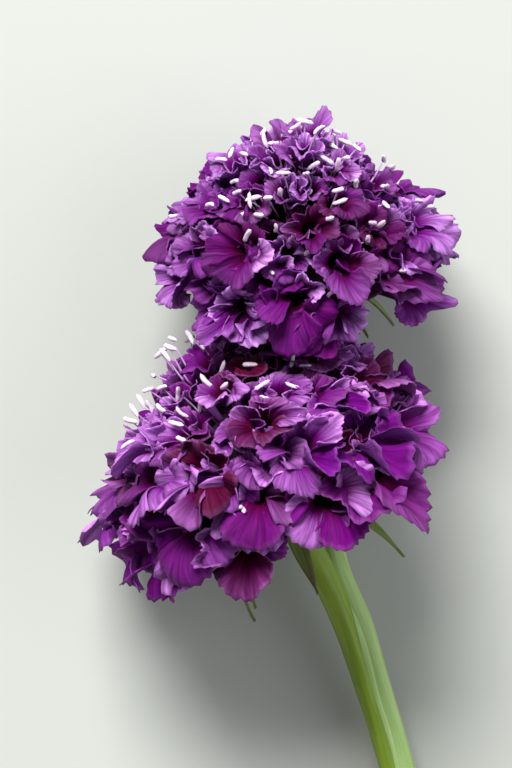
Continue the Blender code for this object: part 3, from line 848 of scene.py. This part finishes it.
    def lobes(self, florets: Florets, seed: int, across: int, forward: int, erect: float) -> Surface:
        """Builds every lobe as a thin closed shell.

        A lobe is a fan on a grid: across runs over its width and reach from the throat to the margin. Its
        direction turns from the tube's line to the spread as a power of the reach, so that it stays in the
        funnel at first and then flares, and a curl turns its margin further. Its middle line adds up those
        directions. The corners fall away, and every second point of the margin is drawn back into a small
        tooth. The sheet is lifted off the line by six terms: cupping, the part's tilt from side to side, a
        twist, broad ruffles that grow towards the margin, fine ones, and a slant that lets neighbours lap.

        Args:
            florets: The florets whose lobes to build.
            seed: Seed for the ruffles and teeth.
            across: Points over a lobe's width.
            forward: Points from the throat to the margin.
            erect: Share of the spread that the lobes keep, less than one where they stand up.

        Returns:
            The surface, with its lobes' tone and amount of lilac, and which side is the reverse.
        """
        draw = np.random.default_rng(seed)
        many = len(florets.tube)
        shape = (many, LOBE_COUNT, 1, 1)
        side = np.linspace(-1, 1, across)[None, None, :, None]
        reach = (np.linspace(0, 1, forward) ** 0.85)[None, None, None, :]
        lobe = np.arange(LOBE_COUNT)[None, :, None, None]
        wide = 1.0 + draw.uniform(0.15, 0.60, shape) * smooth_step(reach, 0.2, 1.0)
        turn = lobe + 0.5 * side * wide + draw.uniform(-0.16, 0.16, shape) * reach**2
        length = self.eased(florets.length, turn)
        spread = self.eased(florets.spread, turn) * self.plan.opened * erect
        phase = draw.uniform(0, 2 * math.pi, shape)
        corner = 0.30 * np.abs(side) ** 3.5 + 0.07 * np.abs(np.sin(draw.uniform(2, 4, shape) * side + phase))
        tooth = draw.uniform(0.01, 0.065, (many, LOBE_COUNT, across, 1)) * (np.arange(across) % 2)[:, None]
        gone = reach * (1 - corner * smooth_step(reach, 0.2, 1.0) - tooth * smooth_step(reach, 0.72, 1.0))
        start = math.radians(12)
        curl = draw.uniform(-0.9, 0.8, shape) * smooth_step(reach, 0.55, 1.0)
        angle = start + (spread - start) * 1.35 * reach ** draw.uniform(0.9, 1.7, shape) + curl
        step = np.diff(gone * length, axis=-1, prepend=0.0)
        between = 0.5 * (angle + np.concatenate([angle[..., :1], angle[..., :-1]], axis=-1))
        rise, run = np.cumsum(np.cos(between) * step, axis=-1), np.cumsum(np.sin(between) * step, axis=-1)
        bearing = (2 * math.pi * turn / LOBE_COUNT)[..., None]
        ways = (florets.along, florets.out, florets.side)
        along, out, sideways = (way[:, None, None, None] for way in ways)
        spoke = out * np.cos(bearing) + sideways * np.sin(bearing)
        facing = np.sin(angle)[..., None] * along - np.cos(angle)[..., None] * spoke
        waves = draw.uniform(1.2, 2.3, shape) * math.pi
        lift = (
            draw.uniform(-0.04, 0.28, shape) * np.abs(side) ** 1.6 * reach
            - 0.20 * florets.tilt[:, :, None, None] * side * reach**2
            + draw.uniform(-0.16, 0.16, shape) * side * reach
            + draw.uniform(0.07, 0.18, shape) * reach**2.2 * np.sin(waves * side + phase)
            + 0.02 * reach**5 * np.sin(draw.uniform(6, 10, shape) * math.pi * side + phase)
            + draw.choice([-0.05, 0.05], shape) * side * smooth_step(reach, 0.3, 0.9)
        )
        middle = (
            florets.root[:, None, None, None]
            + along * (florets.tube[:, None, None, None] + rise)[..., None]
            + spoke * (self.throat + run)[..., None]
            + facing * (lift * length)[..., None]
        )
        middle = self.bent(middle)
        half = (0.14 - 0.08 * smooth_step(reach, 0.0, 0.8))[..., None] * MM
        normals = sheet_normals(middle) * half
        skins = np.stack([middle + normals, middle - normals], axis=2)
        full = skins.shape[:-1]
        tone, lilac = self.tones(florets, middle.mean(axis=(2, 3)), draw)
        place_u = side * 0.5 + 0.5 + draw.integers(0, 40, shape)
        return Surface(
            skins.reshape(-1, 3),
            repeated(shell_faces(across, forward), many * LOBE_COUNT, 2 * across * forward),
            np.stack([spread_over(place_u[:, :, None], full), spread_over(reach[:, :, None], full)], axis=1),
            {
                "tone": spread_over(tone[:, :, None, None, None], full),
                "lilac": spread_over(lilac[:, :, None, None, None], full),
                "reverse": spread_over(np.array([1.0, 0.0])[:, None, None], full),
            },
        )

    def tones(self, florets: Florets, centres: Array, draw: np.random.Generator) -> tuple[Array, Array]:
        """How purple each lobe is, from maroon at 0, and how much lilac its margin has.

        A share of the outer florets are maroon, and more of those by the axis. A lobe near one of the plan's
        maroon or pale places turns towards that, by a bell curve of its distance in the picture. Those places
        hold real maroon and pale petals, and also painted shade and painted light.

        Args:
            florets: The florets.
            centres: The lobes' middles, as florets by lobes by x, y and z.
            draw: The head's draws.

        Returns:
            The tones and the amounts of lilac, as florets by lobes.
        """
        shape = centres.shape[:2]
        plan = self.plan
        near_axis = 1.0 - smooth_step(florets.share, 0.2, 0.6)
        maroon = draw.uniform(0, 1, shape[0]) < plan.maroon_share * (1.0 + 2.0 * near_axis)
        tone = np.where(maroon, draw.uniform(-0.2, 0.1, shape[0]), draw.uniform(0.5, 1.0, shape[0]))
        tone = tone[:, None] + draw.uniform(-0.15, 0.15, shape)
        lilac = draw.uniform(0, 1, shape) ** 2.8 * (0.1 + 0.95 * tone)
        pale = draw.uniform(0, 1, shape) < 0.09 + 0.16 * near_axis[:, None]
        lilac = np.where(pale & ~maroon[:, None], 1.2, lilac)
        # Maroon places darken lobes, partly as real maroon and partly as painted shade; pale places lighten
        # them, partly as real pale lilac and partly as painted light
        for places, aim_tone, aim_lilac in ((plan.maroon_and_shade_near, 0.0, 0.05), (plan.pale_and_light_near, 1.0, 1.0)):
            for across, up, size in places:
                away = np.linalg.norm(centres[..., :2] - np.array([across, up]) * MM, axis=-1) / (size * MM)
                pull = np.exp(-(away**2)) * (centres[..., 2] > plan.base[2])
                tone, lilac = tone + (aim_tone - tone) * pull, lilac + (aim_lilac - lilac) * pull
        return np.clip(tone, 0, 1), np.clip(lilac, 0, 1.2)

    def tubes(self, florets: Florets) -> Surface:
        """Builds each floret's tube as a closed cup: a profile of radius and height turned about its axis.

        Args:
            florets: The florets.

        Returns:
            The surface, with the same values as the lobes.
        """
        sides = 12
        radius = np.array([0.001, 0.45, 0.5, 0.62, 0.85, 1.1, 1.36, 1.2, 0.8, 0.5, 0.001]) * MM
        level = np.array([-0.3, -0.3, 0.1, 0.3, 0.55, 0.8, 1.02, 1.0, 0.75, 0.5, 0.48])
        turns = np.arange(sides) * 2 * math.pi / sides
        many = len(florets.tube)
        ring = (
            florets.out[:, None, None] * np.cos(turns)[None, None, :, None]
            + florets.side[:, None, None] * np.sin(turns)[None, None, :, None]
        )
        height = (level[None, :] * florets.tube[:, None])[..., None, None]
        points = florets.root[:, None, None] + florets.along[:, None, None] * height
        points = points + ring * radius[None, :, None, None]
        points = self.bent(points)
        faces = repeated(grid_faces(len(radius), sides, closed=True)[:, ::-1], many, len(radius) * sides)
        full = (many, len(radius), sides)
        outside = spread_over((np.arange(len(radius)) < 6)[None, :, None], full) * 1.0
        place_u = spread_over(np.arange(sides) / sides, full)
        values = {"tone": 0.8 + 0 * outside, "lilac": 0.2 + 0 * outside, "reverse": outside}
        return Surface(points.reshape(-1, 3), faces, np.stack([place_u, outside * 0.5], axis=1), values)

    def core(self) -> Surface:
        """The dense middle: the dome's profile turned about the axis, closed under its base.

        Returns:
            The surface.
        """
        polar = np.linspace(0.0, math.pi / 2, 14)
        radius = np.concatenate([self.plan.dome_radius(polar), [self.plan.core_radius - 1.6 * MM, 1e-6]])
        height = np.concatenate([self.plan.core_height * np.cos(polar), [-1.1 * MM, -1.4 * MM]])
        return turned_profile(self.plan, radius, height, 40, 10.0)

    def standing_stamens(self, florets: Florets) -> list[tuple[Array, Array, Array]]:
        """The part's own stamens from its own draws, and a few more round the far side.

        Args:
            florets: The standing florets.

        Returns:
            For each the filament's foot, its end and the way that the anther lies.
        """
        plan = self.plan
        zone = math.radians(self.stamen_zone_deg * plan.lean_share)
        near = np.flatnonzero(florets.along @ plan.up > math.cos(zone))
        far = near[florets.out[near, 2] < 0.1]
        rows = []
        for draw, picks, count in (
            (random.Random(plan.seed + 100), near, plan.stamens),
            (random.Random(plan.seed + 200), far, self.far_stamens),
        ):
            for number in range(count):
                pick = picks[number % len(picks)]
                along, out, side = florets.along[pick], florets.out[pick], florets.side[pick]
                way = unit(along + out * draw.uniform(-0.35, 0.35) + side * draw.uniform(-0.35, 0.35))
                swing = draw.uniform(0, 2 * math.pi)
                lies = unit(out * math.cos(swing) + side * math.sin(swing) + way * draw.uniform(-0.5, 0.9))
                foot = florets.root[pick] + along * (florets.tube[pick] - self.filament_start)
                end = foot + way * (self.filament * plan.scale * draw.uniform(0.8, 1.25))
                beyond = (end - np.array(BETWEEN_POINT)) @ unit(np.array(BETWEEN_NORMAL))
                if plan is UPPER or beyond < -self.room_between:
                    rows.append((foot, end, lies))
        return rows

    def shown_stamens(self) -> list[tuple[Array, Array, Array]]:
        """The stamens that show from the front, each at its own place.

        The florets reach an outer dome, the core's dome carried out along the florets' leaning lines.
        The point of it that the camera sees nearest to the anther's place gives the height and the filament's
        foot. A place that stands nearer to the eye than the height in focus is seen spread by that share.

        Returns:
            For each the filament's foot, its end and the way that the anther lies.
        """
        plan = self.plan
        depth = EYE_HEIGHT - FOCUS_HEIGHT
        polar = np.radians(np.linspace(2, 100, 120))
        polar, bearing = np.meshgrid(polar, np.linspace(-math.pi, math.pi, 240))
        lean = polar * plan.lean_share
        radius, height = plan.dome_radius(polar), plan.core_height * np.cos(polar)
        reach = (7.2 + 5.5 * polar / math.pi) * MM * plan.scale
        dome = plan.at(radius + reach * np.sin(lean), bearing, height + reach * np.cos(lean))
        foot = plan.at(radius + 2 * MM * np.sin(lean), bearing, height + 2 * MM * np.cos(lean))
        seen = dome[..., :2] * (depth / (EYE_HEIGHT - dome[..., 2:]))
        rows = []
        for across, up, turn, tip in plan.shown:
            target = np.array([across, up]) * MM
            miss = np.linalg.norm(seen - target, axis=-1) - 0.25 * (dome[..., 2] - plan.base[2])
            best = np.unravel_index(np.argmin(miss), miss.shape)
            end = dome[best].copy()
            end[:2] = target * (EYE_HEIGHT - end[2]) / depth
            turn, tip = math.radians(turn), math.radians(tip)
            lies = [math.cos(turn) * math.cos(tip), math.sin(turn) * math.cos(tip), math.sin(tip)]
            rows.append((foot[best], self.between.bend(end), np.array(lies)))
        return rows

    def stamens(self, florets: Florets) -> tuple[Surface, Surface]:
        """Filaments that rise out of the florets, and a rod-shaped anther across the end of each.

        A filament is a tube along a line that bows to one side by half a sine wave. An anther is a rod whose
        ends are rounded by the square root of one less a high power of its length, with a furrow along it.

        Args:
            florets: The standing florets.

        Returns:
            The filaments and the anthers.
        """
        rows = self.standing_stamens(florets) + self.shown_stamens()
        foot, end, lies = (np.array(column) for column in zip(*rows))
        draw = np.random.default_rng(self.plan.seed)
        many = len(foot)
        bow, size = draw.uniform(-0.9, 0.9, (many, 1, 1)) * MM, draw.uniform(0.85, 1.15, (many, 1, 1))
        step = np.linspace(0, 1, 7)[None, :, None]
        line = foot[:, None] + (end - foot)[:, None] * step
        line = line + unit(np.cross(end - foot, lies))[:, None] * bow * np.sin(step * math.pi)
        thick = np.broadcast_to(np.linspace(0.16, 0.10, 7)[None, :, None] * MM, (many, 7, 6)).copy()
        thick[:, (0, -1)] = 1e-6
        threads = carried_ring(line, np.arange(6) * math.pi / 3, thick)
        rod = np.linspace(-1, 1, 7)[None, :, None]
        swell = np.sqrt(np.maximum(1.0 - np.abs(rod) ** 5, 1e-5))
        swell = swell * (1.0 + draw.uniform(-0.12, 0.12, (many, 7, 1)))
        turns = np.arange(8) * math.pi / 4
        radii = self.anther_radius * size * swell * (1.0 - 0.22 * np.cos(2 * turns) ** 2)
        body = line[:, -1:] + lies[:, None] * (rod * self.anther_half * size)
        hook = unit(np.cross(lies, end - foot))[:, None] * draw.uniform(-0.35, 0.35, (many, 1, 1)) * MM
        body = body + hook * rod**2
        return (self.bundle(threads), self.bundle(carried_ring(body, turns, radii)))

    def bundle(self, tubes: Array) -> Surface:
        """Joins many closed tubes of one size into a surface.

        Args:
            tubes: Positions, as tubes by rings by angles by x, y and z.

        Returns:
            The surface, with its grain in millimetres.
        """
        many, rings, sides = tubes.shape[:3]
        faces = repeated(grid_faces(rings, sides, closed=True)[:, ::-1], many, rings * sides)
        place = wrapped_place(sides, rings, 0.25, 0.25)[None] + np.arange(many)[:, None, None]
        return Surface(tubes.reshape(-1, 3), faces, place.reshape(-1, 2))

    def build(self) -> list[bpy.types.Object]:
        """Builds the head's pieces and ties each to the part.

        Returns:
            The objects, in the order that they were made.
        """
        name = self.plan.name
        standing, filling = self.placed(Crowd.STANDING), self.placed(Crowd.FILLING)
        threads, pods = self.stamens(standing)
        pieces = [self.core().made(f"{name}_core", self.core_shade_finish)]
        # Each group has its florets, the points over a lobe's width and length, and how far the lobes spread
        groups = {
            "outer": (standing.some(standing.share > self.crown_share), 25, 12, 1.0),
            "crown": (standing.some(standing.share <= self.crown_share), 21, 11, 0.85),
            "small": (filling, 13, 9, 0.7),
        }
        for number, (group, (florets, across, forward, erect)) in enumerate(groups.items(), 1):
            petals = self.lobes(florets, self.plan.seed + number, across, forward, erect)
            pieces.append(petals.joined(self.tubes(florets)).made(f"{name}_{group}_florets", self.finish))
        pieces.append(threads.made(f"{name}_filaments", self.filament_finish))
        pieces.append(pods.made(f"{name}_anthers", self.anther_finish))
        for piece in pieces:
            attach(piece, "root")
            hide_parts(f"{name}_head")
        return pieces


# The green parts


@dataclass
class Stalk:
    """Two stalks grown together, the cup and bracts under each head, over the part's stalk."""

    lower_finish: bpy.types.Material
    upper_finish: bpy.types.Material
    bract_finish: bpy.types.Material
    sides: int = 36
    levels: int = 150
    ribs: int = 8
    rib_height: float = 0.02 * MM
    web_share: float = 0.93
    web_end: float = 0.45

    def tube(self, knots: Rows | Array) -> Surface:
        """A stalk: a ring carried along its line, whose radius has low round ribs and slow swellings.

        Args:
            knots: The stalk's line and radii in millimetres.

        Returns:
            The surface, closed at both ends, with its grain in millimetres.
        """
        line = smooth_line(knots, self.levels)
        turns = np.arange(self.sides) * 2 * math.pi / self.sides
        walked = np.linspace(0, 1, self.levels)[:, None]
        ribs = self.rib_height * np.cos(self.ribs * turns[None, :] + 2.0 * walked)
        swell = 0.03 * MM * np.sin(40 * walked + 3 * np.sin(11 * walked))
        swell = swell + 0.02 * MM * np.sin(turns[None] + 9 * walked)
        ends = np.concatenate([line[:1], line, line[-1:]])
        radii = np.pad(line[:, 3:4] + ribs + swell, ((1, 1), (0, 0)), constant_values=1e-6)
        way = unit(np.gradient(line[:, :3], axis=0))
        ends[0, :3] -= way[0] * 1e-6
        ends[-1, :3] += way[-1] * 1e-6
        points = carried_ring(ends[None, :, :3], turns, radii[None])[0]
        points[..., 2] = np.maximum(points[..., 2], 0.0)
        faces = grid_faces(self.levels + 2, self.sides, closed=True)[:, ::-1]
        step = 1.6 * 2 * math.pi / self.sides
        return Surface(points.reshape(-1, 3), faces, wrapped_place(self.sides, self.levels + 2, step, 0.8))

    def web(self) -> Surface:
        """The tissue that joins the stalks: a thinner stalk along the line midway between them.

        Returns:
            The surface, which stops short of where the stalks part.
        """
        count = 6
        middle = 0.5 * (np.array(LOWER_STALK[:count]) + np.array(UPPER_STALK[:count]))
        middle[:, 3] *= self.web_share
        middle[-1, 3] *= self.web_end
        return self.tube(middle)

    def cup(self, plan: HeadPlan) -> Surface:
        """The cup under a head: a profile of radius and height turned about its axis, with shallow flutes.

        Args:
            plan: The head.

        Returns:
            The surface.
        """
        radius = np.array([0.001, 1.9, 2.3, 3.4, 4.7, 5.35, 5.3, 4.9, 0.001]) * MM * plan.scale
        height = np.array([-4.9, -4.8, -4.2, -3.4, -2.8, -2.3, -1.95, -1.8, -1.8]) * MM
        return turned_profile(plan, radius, height, 48, 3.0, flutes=16, rising=True)

    def bracts(self, plan: HeadPlan) -> Surface:
        """Narrow pointed leaves under a head, as thin closed shells.

        A bract's half width follows a curve through that of the part's at its root, a third of the way, two
        thirds and the tip. Its spine droops more with distance, and its edges rise into a shallow trough that
        ripples slightly towards the tip.

        Args:
            plan: The head.

        Returns:
            The surface, with how ripe each point is.
        """
        bearing, droop, length, width = (np.array(column, dtype=float) for column in zip(*plan.bracts))
        bearing, droop = np.radians(bearing), np.radians(droop)
        rows, columns = 22, 9
        place = np.linspace(0, 1, rows)[None, :, None]
        across = np.linspace(-1, 1, columns)[None, None, :]
        profile = [0.5, 0.68, 0.84, 0.96, 1.0, 0.96, 0.84, 0.68, 0.46, 0.22, 0.02]
        wide = np.interp(place, np.linspace(0, 1, len(profile)), profile)
        walked = length[:, None, None] * place
        angle = droop[:, None, None] * (0.55 + 0.6 * place)
        outward = plan.outward(bearing)[:, None, None]
        sideways = np.cross(plan.up, outward)
        radius = 3.6 * MM + walked * np.cos(angle)
        wave = 0.16 * MM * np.sin(14 * place + bearing[:, None, None] * 5) * across * place
        height = -2.5 * MM - walked * np.sin(angle) + 0.5 * MM * wide * np.abs(across) ** 1.4 + wave
        swing = 0.9 * MM * np.sin(bearing * 7)[:, None, None] * place**2
        middle = plan.base + outward * radius[..., None] + plan.up * height[..., None]
        middle = middle + sideways * (across * wide * width[:, None, None] + swing)[..., None]
        middle = FLOOR_BARRIER.bend(middle)
        normals = sheet_normals(middle)
        half = (0.22 - 0.12 * np.abs(across) ** 2)[..., None] * MM
        skins = np.stack([middle - normals * half, middle + normals * half], axis=1)
        many = len(bearing)
        faces = repeated(shell_faces(rows, columns)[:, ::-1], many, 2 * rows * columns)
        full = (many, 2, rows, columns)
        number = np.arange(many)[:, None, None]
        place_u = spread_over((across * 1.4 + number * 9)[:, None], full)
        place_v = spread_over((place * 14.0)[:, None], full)
        # Every third bract is ripe brown at its tip, and the others a third as much
        ripe = smooth_step(place, 0.35, 1.0) * (0.35 + 0.65 * (number % 3 == 0))
        values = {"ripeness": spread_over(ripe[:, None], full)}
        return Surface(skins.reshape(-1, 3), faces, np.stack([place_u, place_v], axis=1), values)

    def build(self) -> list[bpy.types.Object]:
        """Builds the green pieces and ties each to the part.

        Returns:
            The objects.
        """
        # The lower stalk and the cups wear the darker green as painted shade, and the upper stalk and the web
        # wear the lighter green as painted light
        pieces = [
            self.tube(LOWER_STALK).made("lower_stalk", self.lower_finish),
            self.tube(UPPER_STALK).made("upper_stalk", self.upper_finish),
            self.web().made("stalk_web", self.upper_finish),
            self.cup(LOWER).joined(self.cup(UPPER)).made("cups", self.lower_finish),
            self.bracts(LOWER).joined(self.bracts(UPPER)).made("bracts", self.bract_finish),
        ]
        for piece in pieces:
            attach(piece, "root")
            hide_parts("stalk")
        return pieces


# Floor, light and camera


@dataclass
class Studio:
    """A pale floor, two soft lights and the camera, which looks straight down on the flower.

    A small bright window stands high beyond the heads, and a wide weak card fills in from the right. The
    picture's height takes in picture_height metres of the flower.
    """

    floor_tint: str = "#BFC2BB"
    picture_height: float = 0.1024
    lens_side: float = 36.0

    def floor(self) -> None:
        """Lays the floor just under the flower."""
        mesh = bpy.data.meshes.new("floor")
        side = 3.0
        corners = [(-side, -side, 0.0), (side, -side, 0.0), (side, side, 0.0), (-side, side, 0.0)]
        mesh.from_pydata(corners, [], [(0, 1, 2, 3)])
        finish, _, shader = new_finish("floor_paper")
        shader.inputs["Base Color"].default_value = linear(self.floor_tint)
        shader.inputs["Roughness"].default_value = 0.9
        mesh.materials.append(finish)
        floor = bpy.data.objects.new("floor", mesh)
        bpy.context.scene.collection.objects.link(floor)

    def light(self, name: str, place: tuple[float, ...], size: float, power: float, tint: str) -> None:
        """Hangs one square soft light that looks at the heads.

        Args:
            name: Its name.
            place: Where it hangs, in metres.
            size: Its side in metres.
            power: Its power in watts.
            tint: Its colour.
        """
        lamp = bpy.data.lights.new(name, "AREA")
        lamp.size, lamp.energy = size, power
        lamp.color = linear(tint)[:3]
        hung = bpy.data.objects.new(name, lamp)
        hung.location = place
        aim = Vector((0.0, 0.03, 0.02)) - Vector(place)
        hung.rotation_euler = aim.to_track_quat("-Z", "Y").to_euler()
        bpy.context.scene.collection.objects.link(hung)

    def camera(self) -> None:
        """Stands the camera over the middle of the picture."""
        lens = bpy.data.cameras.new("camera")
        lens.sensor_width = self.lens_side
        lens.lens = self.lens_side * (EYE_HEIGHT - FOCUS_HEIGHT) / self.picture_height
        lens.clip_start, lens.clip_end = 0.01, 20.0
        camera = bpy.data.objects.new("camera", lens)
        camera.location = (-ORIGIN[0], -ORIGIN[1], EYE_HEIGHT)
        bpy.context.scene.collection.objects.link(camera)
        bpy.context.scene.camera = camera

    def build(self) -> None:
        """Sets up the floor, the lights, the air's even light and the camera."""
        self.floor()
        self.light("high_window", (-0.30, 1.08, 1.10), 0.75, 42.0, "#FFFFFF")
        self.light("side_card", (1.05, 0.00, 0.90), 1.2, 7.0, "#F2F6FF")
        air = bpy.data.worlds.new("air")
        air.use_nodes = True
        air.node_tree.nodes["Background"].inputs["Color"].default_value = linear("#F4F6F6")
        air.node_tree.nodes["Background"].inputs["Strength"].default_value = 0.25
        bpy.context.scene.world = air
        bpy.context.scene.view_settings.view_transform = "Standard"
        self.camera()


def main() -> None:
    """Builds the flower piece by piece, then the studio round it."""
    logging.basicConfig(level=logging.INFO, format="%(message)s")
    magenta = PetalFinish().made()
    violet = PetalFinish(
        "petal_skin_grown_violet",
        maroon="#4C0030",
        middle="#720A80",
        margin="#CC90E0",
        reverse="#8446A4",
        edge_line=0.0,
    ).made()
    # Dull and dark as painted shade, so that the gaps between the florets look deep
    core = PlainFinish("core_painted_shade", "#4A1030", "#1E0612", 1.2, 0.8, relief=0.8).made()
    # Pale, smooth threads, and dry dusty pods that stand out white against the petals
    filament = PlainFinish("filament_grown", "#D9B8E4", "#B98ACB", 0.8, 0.5).made()
    anther = PlainFinish("anther_with_pollen", "#F6E6F4", "#DDBBDD", 0.35, 0.75, relief=0.5).made()
    # Waxy green with a grain drawn out along the stem, which gives a soft satin light
    # The darker first copy is painted shade, and the lighter second copy is painted light
    painted_shade_green = PlainFinish("stalk_skin_shaded", "#8CA632", "#6E8A20", 0.9, 0.42, along=0.06).made()
    painted_light_green = PlainFinish("stalk_skin_painted_light", "#B4D288", "#9ABC66", 0.9, 0.42, along=0.06).made()
    # Drier and downy, olive at the root and brown at a ripe tip
    olive = PlainFinish("bract_skin", "#7C9242", "#5B7028", 0.7, 0.55, along=0.12, sheen=0.1, ripe="#4A3415")
    lower_head = FlowerHead(LOWER, magenta, core, filament, anther)
    upper_head = FlowerHead(UPPER, violet, core, filament, anther)
    for part in (lower_head, upper_head, Stalk(painted_shade_green, painted_light_green, olive.made())):
        for piece in part.build():
            log.info("%s: %d faces", piece.name, len(piece.data.polygons))
    Studio().build()


if __name__ == "__main__":
    main()
